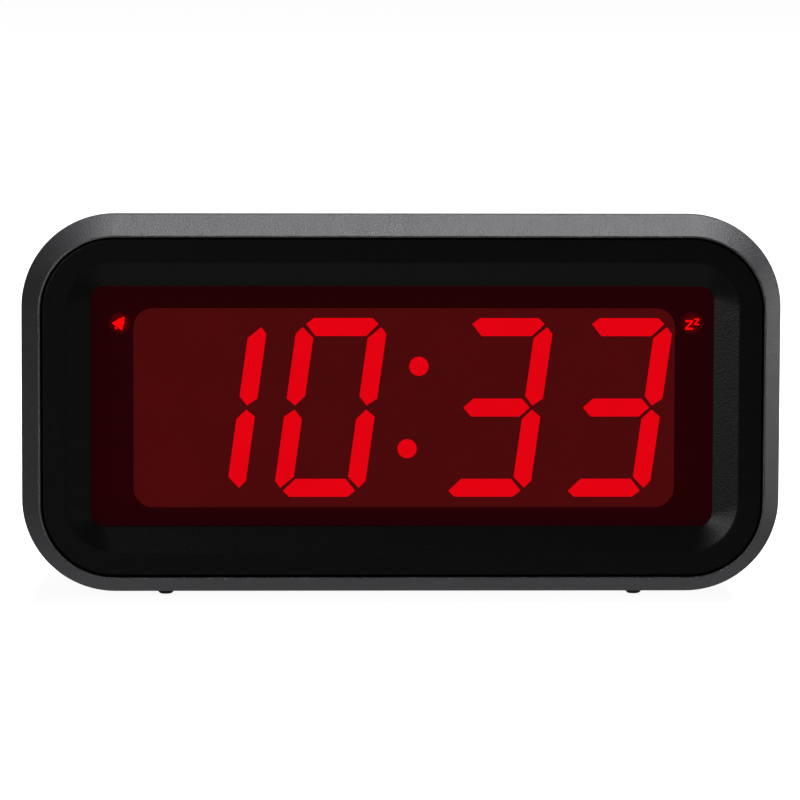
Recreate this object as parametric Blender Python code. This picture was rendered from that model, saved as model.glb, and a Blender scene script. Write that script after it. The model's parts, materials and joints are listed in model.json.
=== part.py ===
"""Digital alarm clock, battery powered, with a four-digit red segment display.

World axes, in metres: +X to the right of a person facing the display, +Y to the rear, +Z up.
Depths are written as distances behind the front edge and turned into Y by y_at().
"""

import math

import bmesh
import bpy
from mathutils import Matrix

MM = 0.001

# ---------------------------------------------------------------- overall sizes
CASE_WIDTH = 130 * MM
CASE_HEIGHT = 65 * MM
CASE_DEPTH = 40 * MM
CASE_RADIUS = 16 * MM
FOOT_PROUD = 1.1 * MM

# ---------------------------------------------------------------- clearances and walls
GAP = 0.3 * MM  # between pieces that are fixed together
RUN = 0.3 * MM  # beside and around pieces that move
WALL = 2.0 * MM
REAR_WALL = 2.4 * MM
BAY_WALL = 1.5 * MM

# ---------------------------------------------------------------- front frame and bezel
RIM_WIDTH = 3.4 * MM
RIM_DEPTH = 7.3 * MM
FRAME_DEPTH = 9.3 * MM
LEDGE_DEPTH = 5.0 * MM
FLANGE_THICKNESS = 2.0 * MM
BEZEL_SETBACK = 0.5 * MM
BAND_WIDTH = 4.25 * MM
SLOPE_WIDTH = 4.25 * MM
SLOPE_DEPTH = 2.0 * MM
SLOPE_RADIUS = 8.2 * MM
WINDOW_RADIUS = 2.4 * MM
BEZEL_WALL = 1.6 * MM

# ---------------------------------------------------------------- window and display
LENS_THICKNESS = 2.0 * MM
LENS_LAP = 1.5 * MM  # how far the lens reaches behind the bezel
FILM_THICKNESS = 0.3 * MM
FIELD_WIDTH = 92.6 * MM
FIELD_MARGIN = 1.75 * MM  # above and below the digits
FIELD_RADIUS = 3.3 * MM
DISPLAY_X = 0.45 * MM
DISPLAY_DROP = 0.6 * MM
PANEL_DEPTH = 6.8 * MM
PANEL_LAP = 2.5 * MM  # above and below the clear field
BOARD_THICKNESS = 1.6 * MM
BACKING_THICKNESS = 0.8 * MM

DIGIT_HEIGHT = 30.8 * MM
DIGIT_WIDTH = 15.5 * MM
STROKE = 3.1 * MM
SEGMENT_SPACE = 0.7 * MM
SEGMENT_CLEARANCE = 0.2 * MM
SLANT = 0.138
DIGIT_SPOTS = [-33.1 * MM, -12.6 * MM, 15.8 * MM, 36.3 * MM]
COLON_X = 1.5 * MM
COLON_RISE = 7.1 * MM
COLON_DIAMETER = 3.3 * MM

ICON_LED_DIAMETER = 3.0 * MM
ICON_INSET = 2.4 * MM  # icon centre to the field's top edge
ICON_OUTSET = 2.6 * MM  # icon centre to the field's side edge

# ---------------------------------------------------------------- rear case
SIDE_TAPER = 1.9 * MM
TOP_TAPER = 2.6 * MM
REAR_FILLET = 2.2 * MM
SCREW_INSET = 2.7 * MM  # below the flat part of the rear face
SCREW_SIDE = 10.9 * MM  # in from the flat part's side edge
SCREW_HEAD_DIAMETER = 4.4 * MM
SCREW_HEAD_HEIGHT = 1.8 * MM
SCREW_SHANK_DIAMETER = 2.4 * MM
SCREW_LENGTH = 9.0 * MM
WELL_FLOOR = 2.0 * MM

# ---------------------------------------------------------------- batteries
CELL_LENGTH = 50.0 * MM
CELL_DIAMETER = 14.2 * MM
CELL_CAN = 48.4 * MM
NUB_DIAMETER = 5.4 * MM
CELL_SPACE = 1.3 * MM  # between the two rows
SPRING_LENGTH = 2.4 * MM
SPRING_WIRE = 0.6 * MM
PARTITION = 1.6 * MM
PLATE = 0.4 * MM
CONTACT_SIZE = 9.0 * MM
CELL_SLACK = 0.45 * MM
DOOR_THICKNESS = 1.8 * MM
DOOR_LAP = 2.0 * MM
DOOR_RADIUS = 3.0 * MM
BAY_BOTTOM = 8.2 * MM
BARREL_RADIUS = 1.3 * MM
PIN_RADIUS = 0.6 * MM
PIN_LENGTH = 1.2 * MM

# ---------------------------------------------------------------- rear controls
BUTTON_WIDTH = 9.0 * MM
BUTTON_HEIGHT = 5.0 * MM
BUTTON_PITCH = 13.0 * MM
BUTTON_TRAVEL = 0.5 * MM
BUTTON_NAMES = ["time_set", "alarm_set", "hour", "minute"]
CONTROL_DROP = 11.3 * MM  # control row below the rear case's top
RECESS_DEPTH = 1.0 * MM
RECESS_HEIGHT = 9.0 * MM
RECESS_SIDE = 2.0 * MM
PROUD = 0.8 * MM
FLANGE = 0.6 * MM
FLANGE_LAP = 0.8 * MM
TACT_SIZE = 6.0 * MM
TACT_HEIGHT = 3.4 * MM
STEM_DIAMETER = 3.4 * MM
STEM_PROUD = 1.0 * MM
STEM_SUNK = 1.8 * MM
SWITCH_X = 33.0 * MM
SWITCH_LENGTH = 9.0 * MM
SWITCH_HEIGHT = 4.4 * MM
KNOB_WIDTH = 2.2 * MM
KNOB_HEIGHT = 3.0 * MM
KNOB_TRAVEL = 2.0 * MM
BUZZER_X = -33.0 * MM
BUZZER_DIAMETER = 12.0 * MM
BUZZER_HEIGHT = 4.6 * MM
SLOT_COUNT = 5
SLOT_WIDTH = 1.0 * MM
SLOT_PITCH = 2.2 * MM
SLOT_HEIGHT = 8.0 * MM

# ---------------------------------------------------------------- snooze bar
SNOOZE_WIDTH = 60.0 * MM
SNOOZE_FRONT = 15.0 * MM
SNOOZE_LENGTH = 14.0 * MM
SNOOZE_PROUD = 0.2 * MM
SNOOZE_TRAVEL = 0.8 * MM
SNOOZE_FLANGE = 1.2 * MM
POST_WIDTH = 3.0 * MM

# ---------------------------------------------------------------- main board
CELL_DOOR_GAP = 0.6 * MM  # cells to the inside of the shut door
CELL_FLOOR_GAP = 0.5 * MM  # cells to the bay floor
BOARD_SIDE_GAP = 0.5 * MM  # main board to the screw wells
MAIN_HEIGHT = 17.4 * MM
MAIN_TOP_GAP = 1.6 * MM
PEG_DIAMETER = 2.4 * MM
PEG_INSET = 3.0 * MM

# ---------------------------------------------------------------- feet and leads
FOOT_WIDTH = 2.8 * MM
FOOT_LENGTH = 8.0 * MM
FOOT_SPOT_X = 40.4 * MM
FOOT_SINK = 0.8 * MM
FOOT_FRONT = 11.0 * MM
FOOT_REAR = 29.0 * MM
WIRE_DIAMETER = 1.0 * MM
LEAD_LANDS = [-42.5 * MM, -38.5 * MM]  # where the red and black leads reach the main board
RIBBON_WIDTH = 18.0 * MM
RIBBON_THICKNESS = 0.4 * MM
RIBBON_X = -24.0 * MM

CORNER_STEPS = 14
ROUND_STEPS = 28
SMALL_STEPS = 12

# ---------------------------------------------------------------- places worked out from the sizes
FIELD_HEIGHT = DIGIT_HEIGHT + 2 * FIELD_MARGIN
CASE_BOTTOM = FOOT_PROUD
CASE_CENTRE = CASE_BOTTOM + CASE_HEIGHT / 2
INNER_WIDTH = CASE_WIDTH - 2 * RIM_WIDTH
INNER_HEIGHT = CASE_HEIGHT - 2 * RIM_WIDTH
INNER_RADIUS = CASE_RADIUS - RIM_WIDTH
WINDOW_WIDTH = INNER_WIDTH - 2 * BAND_WIDTH - 2 * SLOPE_WIDTH
WINDOW_HEIGHT = INNER_HEIGHT - 2 * BAND_WIDTH - 2 * SLOPE_WIDTH
WINDOW_DEPTH = BEZEL_SETBACK + SLOPE_DEPTH
LENS_WIDTH = WINDOW_WIDTH + 2 * LENS_LAP
LENS_HEIGHT = WINDOW_HEIGHT + 2 * LENS_LAP
LENS_RADIUS = WINDOW_RADIUS + LENS_LAP
LENS_FRONT = WINDOW_DEPTH + 2 * GAP
FILM_FRONT = LENS_FRONT + LENS_THICKNESS + GAP
PANEL_FRONT = FILM_FRONT + FILM_THICKNESS + GAP
PANEL_BACK = PANEL_FRONT + PANEL_DEPTH
BACKING_FRONT = PANEL_BACK + GAP
DISPLAY_BOARD_FRONT = BACKING_FRONT + BACKING_THICKNESS + GAP
DISPLAY_BOARD_BACK = DISPLAY_BOARD_FRONT + BOARD_THICKNESS
DISPLAY_CENTRE = CASE_CENTRE - DISPLAY_DROP
ICON_Z = DISPLAY_CENTRE + FIELD_HEIGHT / 2 - ICON_INSET
ICON_X = FIELD_WIDTH / 2 + ICON_OUTSET

LIP_FRONT = LEDGE_DEPTH + GAP + FLANGE_THICKNESS + GAP
CASE_START = FRAME_DEPTH + GAP
LIP_WIDTH = CASE_WIDTH - 2 * WALL - 2 * GAP
REAR_BOTTOM = CASE_BOTTOM + GAP
REAR_TOP = CASE_BOTTOM + CASE_HEIGHT - GAP
REAR_WALL_FRONT = CASE_DEPTH - REAR_WALL

CELL_DEPTH = CASE_DEPTH - DOOR_THICKNESS - CELL_DOOR_GAP - CELL_DIAMETER / 2
BAY_FLOOR = CELL_DEPTH - CELL_DIAMETER / 2 - CELL_FLOOR_GAP
CELL_RUN = GAP + CELL_LENGTH + GAP + SPRING_LENGTH + GAP
SADDLE_OUT = PARTITION / 2 + GAP + PLATE
BAY_HALF = SADDLE_OUT + CELL_RUN + PLATE + GAP
LOWER_ROW = BAY_BOTTOM + CELL_SLACK + CELL_DIAMETER / 2
UPPER_ROW = LOWER_ROW + CELL_DIAMETER + CELL_SPACE
BAY_TOP = UPPER_ROW + CELL_DIAMETER / 2 + CELL_SLACK
DOOR_BOTTOM = BAY_BOTTOM - DOOR_LAP + RUN
DOOR_TOP = BAY_TOP + DOOR_LAP - RUN
HINGE_DEPTH = CASE_DEPTH - BARREL_RADIUS
HINGE_Z = DOOR_BOTTOM + BARREL_RADIUS

CONTROL_Z = REAR_TOP - TOP_TAPER - CONTROL_DROP
RECESS_FLOOR = CASE_DEPTH - RECESS_DEPTH
CAP_INNER = REAR_WALL_FRONT - RUN - FLANGE
STEM_END = CAP_INNER - GAP
TACT_BACK = STEM_END - STEM_PROUD
TACT_FRONT = TACT_BACK - TACT_HEIGHT
MAIN_BACK = TACT_FRONT - GAP
MAIN_FRONT = MAIN_BACK - BOARD_THICKNESS
MAIN_TOP = REAR_TOP - TOP_TAPER - WALL - MAIN_TOP_GAP
MAIN_CENTRE = MAIN_TOP - MAIN_HEIGHT / 2

SCREW_X = CASE_WIDTH / 2 - SIDE_TAPER - REAR_FILLET - SCREW_SIDE
SCREW_Z = REAR_TOP - TOP_TAPER - REAR_FILLET - SCREW_INSET
SCREW_HOLE = SCREW_SHANK_DIAMETER / 2 + GAP
WELL_RADIUS = SCREW_HEAD_DIAMETER / 2 + GAP
WELL_OUTER = WELL_RADIUS + BAY_WALL
WELL_FRONT = LIP_FRONT
SCREW_HEAD_FRONT = WELL_FRONT + WELL_FLOOR + GAP
FIXING_X = (LENS_WIDTH + LIP_WIDTH - 2 * WALL) / 4
BOSS_RADIUS = SCREW_HOLE + 0.8 * MM
MAIN_WIDTH = 2 * (SCREW_X - WELL_OUTER - BOARD_SIDE_GAP)


def y_at(depth):
    """World Y of a distance behind the front edge."""
    return depth - CASE_DEPTH / 2


# ---------------------------------------------------------------- materials
def principled(name, colour, roughness, metallic=0.0, transmission=0.0, glow=0.0):
    material = bpy.data.materials.new(name)
    material.use_nodes = True
    shader = material.node_tree.nodes["Principled BSDF"]
    shader.inputs["Base Color"].default_value = (*colour, 1.0)
    shader.inputs["Roughness"].default_value = roughness
    shader.inputs["Metallic"].default_value = metallic
    shader.inputs["Transmission Weight"].default_value = transmission
    shader.inputs["Emission Color"].default_value = (*colour, 1.0)
    shader.inputs["Emission Strength"].default_value = glow
    material.diffuse_color = (*colour, 1.0)
    return material


for leftover in list(bpy.data.objects):
    bpy.data.objects.remove(leftover)

SATIN_GREY = principled("satin_grey_plastic", (0.20, 0.20, 0.21), 0.38, metallic=0.3)
GLOSS_BLACK = principled("gloss_black_plastic", (0.010, 0.010, 0.011), 0.22)
MATTE_BLACK = principled("matte_black_plastic", (0.018, 0.018, 0.019), 0.55)
RED_ACRYLIC = principled("red_acrylic", (0.42, 0.01, 0.02), 0.08, transmission=0.6)
DARK_FILM = principled("dark_printed_film", (0.012, 0.003, 0.004), 0.5)
PANEL_RED = principled("dark_red_display_face", (0.06, 0.004, 0.005), 0.5)
LIT_RED = principled("lit_red_segment", (0.85, 0.004, 0.012), 0.4, glow=2.0)
RUBBER = principled("black_rubber", (0.015, 0.015, 0.015), 0.85)
STEEL = principled("zinc_plated_steel", (0.60, 0.60, 0.58), 0.32, metallic=1.0)
SPRING_STEEL = principled("nickel_plated_spring", (0.68, 0.67, 0.64), 0.25, metallic=1.0)
BOARD_GREEN = principled("green_circuit_board", (0.02, 0.16, 0.06), 0.45)
CHIP_BLACK = principled("chip_epoxy", (0.02, 0.02, 0.022), 0.5)
CAN_SILVER = principled("aluminium_can", (0.75, 0.75, 0.76), 0.28, metallic=1.0)
SLEEVE_BLUE = principled("capacitor_sleeve", (0.03, 0.07, 0.28), 0.4)
BUTTON_GREY = principled("grey_button_plastic", (0.12, 0.12, 0.125), 0.5)
CELL_WRAP = principled("cell_wrap", (0.05, 0.22, 0.12), 0.35)
RED_WIRE = principled("red_wire_insulation", (0.55, 0.02, 0.02), 0.5)
BLACK_WIRE = principled("black_wire_insulation", (0.02, 0.02, 0.02), 0.5)
RIBBON_GREY = principled("grey_ribbon_cable", (0.42, 0.42, 0.43), 0.55)


# ---------------------------------------------------------------- shapes, as closed shells in a bmesh
def rounded_outline(width, height, radius, centre_x, centre_z, steps=CORNER_STEPS):
    """Points of a rounded rectangle in the XZ plane, with steps + 1 points at each corner."""
    points = []
    for turn, (side_x, side_z) in enumerate([(1, 1), (-1, 1), (-1, -1), (1, -1)]):
        corner_x = centre_x + side_x * (width / 2 - radius)
        corner_z = centre_z + side_z * (height / 2 - radius)
        for step in range(steps + 1):
            angle = math.radians(90 * turn + 90 * step / steps)
            points.append((corner_x + radius * math.cos(angle), corner_z + radius * math.sin(angle)))
    return points


def add_rings(mesh, rings, looped):
    """Joins rings of 3-D points with quads. A looped shell closes on itself, others are capped."""
    rows = [[mesh.verts.new(point) for point in ring] for ring in rings]
    count = len(rows[0])
    pairs = list(zip(rows, rows[1:]))
    if looped:
        pairs.append((rows[-1], rows[0]))
    for row, following in pairs:
        for i in range(count):
            j = (i + 1) % count
            mesh.faces.new((row[i], row[j], following[j], following[i]))
    if not looped:
        mesh.faces.new(rows[0])
        mesh.faces.new(rows[-1])


def add_stations(mesh, stations, looped=False, centre_x=0.0, steps=CORNER_STEPS):
    """Stations are (depth, width, height, radius, centre_z) rounded rectangles, joined in order."""
    rings = []
    for depth, width, height, radius, centre_z in stations:
        outline = rounded_outline(width, height, radius, centre_x, centre_z, steps)
        rings.append([(x, y_at(depth), z) for x, z in outline])
    add_rings(mesh, rings, looped)


def add_box(mesh, x0, x1, depth0, depth1, z0, z1):
    corners = [(x0, z0), (x1, z0), (x1, z1), (x0, z1)]
    add_rings(mesh, [[(x, y_at(depth), z) for x, z in corners] for depth in (depth0, depth1)], False)


def add_plate(mesh, outline, depth0, depth1):
    """An outline of (x, z) points between two depths."""
    add_rings(mesh, [[(x, y_at(depth), z) for x, z in outline] for depth in (depth0, depth1)], False)


def add_section(mesh, outline, x0, x1):
    """An outline of (depth, z) points between two X positions."""
    add_rings(mesh, [[(x, y_at(depth), z) for depth, z in outline] for x in (x0, x1)], False)


def circle(radius, steps):
    turns = [2 * math.pi * step / steps for step in range(steps)]
    return [(radius * math.cos(turn), radius * math.sin(turn)) for turn in turns]


def add_turned(mesh, axis, centre, profile, steps=ROUND_STEPS):
    """A turned solid: profile is (position along the axis, radius) pairs, centre is (x, depth, z)."""
    rings = []
    for along, radius in profile:
        ring = []
        for a, b in circle(radius, steps):
            if axis == "X":
                ring.append((centre[0] + along, y_at(centre[1]) + a, centre[2] + b))
            elif axis == "Y":
                ring.append((centre[0] + a, y_at(centre[1] + along), centre[2] + b))
            else:
                ring.append((centre[0] + a, y_at(centre[1]) + b, centre[2] + along))
        rings.append(ring)
    add_rings(mesh, rings, False)


def add_tube(mesh, path, radius, steps):
    """A round tube along (x, depth, z) points."""
    points = [(x, y_at(depth), z) for x, depth, z in path]
    rings = []
    across = None
    for i, point in enumerate(points):
        before = points[max(i - 1, 0)]
        after = points[min(i + 1, len(points) - 1)]
        along = [after[k] - before[k] for k in range(3)]
        size = math.sqrt(sum(value * value for value in along))
        along = [value / size for value in along]
        if across is None:
            across = [0.0, 1.0, 0.0] if abs(along[1]) < 0.9 else [0.0, 0.0, 1.0]
        lean = sum(across[k] * along[k] for k in range(3))
        across = [across[k] - lean * along[k] for k in range(3)]
        size = math.sqrt(sum(value * value for value in across))
        across = [value / size for value in across]
        other = [
            along[1] * across[2] - along[2] * across[1],
            along[2] * across[0] - along[0] * across[2],
            along[0] * across[1] - along[1] * across[0],
        ]
        ring = []
        for a, b in circle(radius, steps):
            ring.append(tuple(point[k] + a * across[k] + b * other[k] for k in range(3)))
        rings.append(ring)
    add_rings(mesh, rings, False)


def finish(name, mesh, material, origin=None, smooth=None):
    """Makes the object. Origin is (x, depth, z), smooth is the angle in degrees that stays sharp."""
    bmesh.ops.recalc_face_normals(mesh, faces=mesh.faces)
    pivot = (0.0, 0.0, 0.0)
    if origin is not None:
        pivot = (origin[0], y_at(origin[1]), origin[2])
        bmesh.ops.translate(mesh, verts=mesh.verts, vec=[-value for value in pivot])
    data = bpy.data.meshes.new(name)
    mesh.to_mesh(data)
    mesh.free()
    made = bpy.data.objects.new(name, data)
    made.location = pivot
    bpy.context.scene.collection.objects.link(made)
    data.materials.append(material)
    if smooth is not None:
        data.shade_smooth()
        data.set_sharp_from_angle(angle=math.radians(smooth))
    return made


def combine(target, operation, builders):
    """Joins or cuts each builder's closed shell into the target, one after another."""
    for builder in builders:
        mesh = bmesh.new()
        builder(mesh)
        tool = finish(target.name + "_tool", mesh, target.data.materials[0])
        tool.location = (0.0, 0.0, 0.0)
        modifier = target.modifiers.new("shape", "BOOLEAN")
        modifier.operation = operation
        modifier.solver = "EXACT"
        modifier.object = tool
        bpy.context.view_layer.update()
        graph = bpy.context.evaluated_depsgraph_get()
        shaped = bpy.data.meshes.new_from_object(target.evaluated_get(graph))
        target.modifiers.clear()
        plain = target.data
        target.data = shaped
        shaped.name = target.name
        bpy.data.meshes.remove(plain)
        tool_data = tool.data
        bpy.data.objects.remove(tool)
        bpy.data.meshes.remove(tool_data)
    return target


def join(target, *builders):
    return combine(target, "UNION", builders)


def cut(target, *builders):
    return combine(target, "DIFFERENCE", builders)


def box(*sides):
    return lambda mesh: add_box(mesh, *sides)


def turned(*values, **options):
    return lambda mesh: add_turned(mesh, *values, **options)


def bored(axis, centre, start, end, radius, steps=ROUND_STEPS):
    return turned(axis, centre, [(start, radius), (end, radius)], steps=steps)


def smooth_again(made, angle):
    made.data.shade_smooth()
    made.data.set_sharp_from_angle(angle=math.radians(angle))


# ---------------------------------------------------------------- front frame
def build_front_frame():
    edge = 0.25 * MM
    mesh = bmesh.new()

    def station(depth, inset):
        return (
            depth,
            CASE_WIDTH - 2 * inset,
            CASE_HEIGHT - 2 * inset,
            CASE_RADIUS - inset,
            CASE_CENTRE,
        )

    add_stations(
        mesh,
        [
            station(edge, RIM_WIDTH),
            station(0.0, RIM_WIDTH - edge),
            station(RIM_DEPTH - 0.6 * MM, 0.18 * MM),
            station(RIM_DEPTH, 0.0),
            station(FRAME_DEPTH - edge, 0.0),
            station(FRAME_DEPTH, edge),
            station(FRAME_DEPTH, WALL),
            station(LEDGE_DEPTH, WALL),
            station(LEDGE_DEPTH, RIM_WIDTH),
        ],
        looped=True,
    )
    return finish("front_frame", mesh, SATIN_GREY, smooth=28)


# ---------------------------------------------------------------- front bezel
def bezel_station(depth, inset, radius=None):
    """A station whose inset is measured from the rim's inner edge. A negative inset reaches outside it."""
    return (
        depth,
        INNER_WIDTH - 2 * inset,
        INNER_HEIGHT - 2 * inset,
        INNER_RADIUS - inset if radius is None else radius,
        CASE_CENTRE,
    )


def build_front_bezel():
    edge = 0.2 * MM
    flange_out = GAP - (RIM_WIDTH - WALL)
    flange_front = LEDGE_DEPTH + GAP
    flange_back = flange_front + FLANGE_THICKNESS
    window_inset = BAND_WIDTH + SLOPE_WIDTH
    seat_inset = window_inset - LENS_LAP - GAP
    seat_radius = LENS_RADIUS + GAP
    groove_out = GAP + BEZEL_WALL
    groove_in = seat_inset - BEZEL_WALL
    groove_front = WINDOW_DEPTH + 0.6 * MM
    mesh = bmesh.new()
    add_stations(
        mesh,
        [
            bezel_station(BEZEL_SETBACK, GAP + edge),
            bezel_station(BEZEL_SETBACK + edge, GAP),
            bezel_station(flange_front, GAP),
            bezel_station(flange_front, flange_out),
            bezel_station(flange_back, flange_out),
            bezel_station(flange_back, groove_out),
            bezel_station(groove_front, groove_out),
            bezel_station(groove_front, groove_in, seat_radius + BEZEL_WALL),
            bezel_station(flange_back, groove_in, seat_radius + BEZEL_WALL),
            bezel_station(flange_back, seat_inset, seat_radius),
            bezel_station(WINDOW_DEPTH + GAP, seat_inset, seat_radius),
            bezel_station(WINDOW_DEPTH + GAP, window_inset, WINDOW_RADIUS),
            bezel_station(WINDOW_DEPTH, window_inset, WINDOW_RADIUS),
            bezel_station(BEZEL_SETBACK, BAND_WIDTH, SLOPE_RADIUS),
        ],
        looped=True,
    )
    made = finish("front_bezel", mesh, GLOSS_BLACK, smooth=24)
    post_back = DISPLAY_BOARD_FRONT - GAP
    posts = []
    sockets = []
    for side in (-1, 1):
        spot = (side * FIXING_X, 0.0, CASE_CENTRE)
        posts.append(bored("Y", spot, groove_front - 0.4 * MM, post_back, BOSS_RADIUS, SMALL_STEPS))
        sockets.append(bored("Y", spot, post_back - 5.0 * MM, post_back + MM, SCREW_HOLE, SMALL_STEPS))
        spot = (side * SCREW_X, 0.0, SCREW_Z)
        boss_back = WELL_FRONT - GAP
        posts.append(bored("Y", spot, groove_front - 0.4 * MM, boss_back, BOSS_RADIUS, SMALL_STEPS))
        sockets.append(bored("Y", spot, groove_front, boss_back + MM, SCREW_HOLE, SMALL_STEPS))
    join(made, *posts)
    cut(made, *sockets)
    smooth_again(made, 24)
    return made


# ---------------------------------------------------------------- window and film
def build_window():
    edge = 0.2 * MM
    mesh = bmesh.new()
    add_stations(
        mesh,
        [
            (LENS_FRONT, LENS_WIDTH - 2 * edge, LENS_HEIGHT - 2 * edge, LENS_RADIUS - edge, CASE_CENTRE),
            (LENS_FRONT + edge, LENS_WIDTH, LENS_HEIGHT, LENS_RADIUS, CASE_CENTRE),
            (LENS_FRONT + LENS_THICKNESS, LENS_WIDTH, LENS_HEIGHT, LENS_RADIUS, CASE_CENTRE),
        ],
    )
    finish("window_lens", mesh, RED_ACRYLIC, smooth=30)

    back = FILM_FRONT + FILM_THICKNESS
    mesh = bmesh.new()
    outer = rounded_outline(LENS_WIDTH, LENS_HEIGHT, LENS_RADIUS, 0.0, CASE_CENTRE)
    inner = rounded_outline(FIELD_WIDTH, FIELD_HEIGHT, FIELD_RADIUS, DISPLAY_X, DISPLAY_CENTRE)
    rings = []
    for outline, depth in ((outer, FILM_FRONT), (outer, back), (inner, back), (inner, FILM_FRONT)):
        rings.append([(x, y_at(depth), z) for x, z in outline])
    add_rings(mesh, rings, True)
    made = finish("mask_film", mesh, DARK_FILM)
    centre = (FILM_FRONT + back) / 2
    holes = []
    for side in (-1, 1):
        spot = (DISPLAY_X + side * ICON_X, centre, ICON_Z)
        holes.append(bored("Y", spot, -MM, MM, 1.1 * MM, SMALL_STEPS))
    return cut(made, *holes)


# ---------------------------------------------------------------- segments
def segment_outlines(grow=0.0):
    """The seven outlines of an upright digit, centred on zero. Grow moves their edges out."""
    half_w = DIGIT_WIDTH / 2
    half_h = DIGIT_HEIGHT / 2
    chamfer = 1.2 * MM
    mitre = 1.9 * MM
    space = SEGMENT_SPACE / 2
    tall = half_h - chamfer - space
    wide = half_w - chamfer - space
    top = [
        (-wide, half_h - chamfer + space / 2),
        (-wide + chamfer, half_h),
        (wide - chamfer, half_h),
        (wide, half_h - chamfer + space / 2),
        (wide - mitre, half_h - STROKE),
        (-wide + mitre, half_h - STROKE),
    ]
    half_s = STROKE / 2
    reach = half_w - 1.35 * MM - SEGMENT_SPACE
    middle = [
        (-reach, 0.0),
        (-reach + half_s, half_s),
        (reach - half_s, half_s),
        (reach, 0.0),
        (reach - half_s, -half_s),
        (-reach + half_s, -half_s),
    ]
    side = [
        (half_w - chamfer + space / 2, tall),
        (half_w, tall - chamfer),
        (half_w, half_s),
        (reach + SEGMENT_SPACE * 0.6, space),
        (half_w - STROKE, half_s + SEGMENT_SPACE * 0.6),
        (half_w - STROKE, tall - mitre),
    ]

    def flip(points, across, up):
        return [(across * x, up * z) for x, z in points]

    shapes = {
        "a": top,
        "b": side,
        "c": flip(side, 1, -1),
        "d": flip(top, 1, -1),
        "e": flip(side, -1, -1),
        "f": flip(side, -1, 1),
        "g": middle,
    }
    return {key: outset(points, grow) for key, points in shapes.items()}


def outset(points, grow):
    """Moves a convex outline's edges out by grow."""
    area = sum(a[0] * b[1] - b[0] * a[1] for a, b in zip(points, points[1:] + points[:1]))
    if area < 0:
        points = points[::-1]
    if grow == 0.0:
        return points
    count = len(points)
    edges = []
    for i in range(count):
        (x0, z0), (x1, z1) = points[i], points[(i + 1) % count]
        length = math.hypot(x1 - x0, z1 - z0)
        normal = ((z1 - z0) / length, -(x1 - x0) / length)
        edges.append((normal, normal[0] * x0 + normal[1] * z0 + grow))
    moved = []
    for i in range(count):
        (n0, d0), (n1, d1) = edges[i - 1], edges[i]
        det = n0[0] * n1[1] - n0[1] * n1[0]
        moved.append(((d0 * n1[1] - d1 * n0[1]) / det, (n0[0] * d1 - n1[0] * d0) / det))
    return moved


def place_on_display(points, centre_x):
    return [(x + SLANT * z + centre_x, z + DISPLAY_CENTRE) for x, z in points]


def display_outlines(grow):
    """The outlines of every segment and of the two colon dots."""
    outlines = []
    for spot in DIGIT_SPOTS:
        for points in segment_outlines(grow).values():
            outlines.append(place_on_display(points, DISPLAY_X + spot))
    for up in (-1, 1):
        rise = up * COLON_RISE
        dot = circle(COLON_DIAMETER / 2 + grow, SMALL_STEPS)
        centre = DISPLAY_X + COLON_X + SLANT * rise
        outlines.append([(x + centre, z + rise + DISPLAY_CENTRE) for x, z in dot])
    return outlines


def build_display():
    edge = GAP
    mesh = bmesh.new()
    width, height, radius = LENS_WIDTH - edge, FIELD_HEIGHT + 2 * PANEL_LAP, FIELD_RADIUS
    add_stations(
        mesh,
        [
            (PANEL_FRONT, width, height, radius, DISPLAY_CENTRE),
            (PANEL_BACK, width, height, radius, DISPLAY_CENTRE),
        ],
        steps=4,
    )
    panel = finish("segment_panel", mesh, PANEL_RED)

    def windows(mesh):
        for outline in display_outlines(SEGMENT_CLEARANCE):
            add_plate(mesh, outline, PANEL_FRONT - MM, PANEL_BACK + MM)

    icons = []
    for side in (-1, 1):
        spot = (DISPLAY_X + side * ICON_X, 0.0, ICON_Z)
        radius = ICON_LED_DIAMETER / 2 + GAP
        icons.append(bored("Y", spot, PANEL_FRONT - MM, PANEL_BACK + MM, radius, SMALL_STEPS))
    cut(panel, windows, *icons)

    mesh = bmesh.new()
    backing_width = FIELD_WIDTH
    add_box(
        mesh,
        DISPLAY_X - backing_width / 2,
        DISPLAY_X + backing_width / 2,
        BACKING_FRONT,
        BACKING_FRONT + BACKING_THICKNESS,
        DISPLAY_CENTRE - FIELD_HEIGHT / 2,
        DISPLAY_CENTRE + FIELD_HEIGHT / 2,
    )
    lights = finish("segment_lights", mesh, LIT_RED)

    def raised(mesh):
        for outline in display_outlines(0.0):
            add_plate(mesh, outline, PANEL_FRONT + 0.1 * MM, BACKING_FRONT + BACKING_THICKNESS / 2)

    join(lights, raised)

    board_width = 2 * (FIXING_X + BOSS_RADIUS)
    mesh = bmesh.new()
    add_stations(
        mesh,
        [
            (DISPLAY_BOARD_FRONT, board_width, FIELD_HEIGHT + 4 * MM, 3.0 * MM, CASE_CENTRE),
            (DISPLAY_BOARD_BACK, board_width, FIELD_HEIGHT + 4 * MM, 3.0 * MM, CASE_CENTRE),
        ],
        steps=3,
    )
    board = finish("display_board", mesh, BOARD_GREEN)
    holes = []
    for side in (-1, 1):
        spot = (side * FIXING_X, DISPLAY_BOARD_FRONT, CASE_CENTRE)
        holes.append(bored("Y", spot, -MM, BOARD_THICKNESS + MM, SCREW_HOLE, SMALL_STEPS))
    cut(board, *holes)

    for name, side in (("alarm_led", -1), ("snooze_led", 1)):
        mesh = bmesh.new()
        radius = ICON_LED_DIAMETER / 2
        front = PANEL_FRONT + 0.4 * MM
        back = DISPLAY_BOARD_FRONT - GAP
        profile = [
            (front, radius * 0.30),
            (front + radius * 0.22, radius * 0.74),
            (front + radius, radius),
            (back, radius),
        ]
        add_turned(mesh, "Y", (DISPLAY_X + side * ICON_X, 0.0, ICON_Z), profile, steps=SMALL_STEPS)
        finish(name, mesh, LIT_RED, smooth=50)


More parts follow.
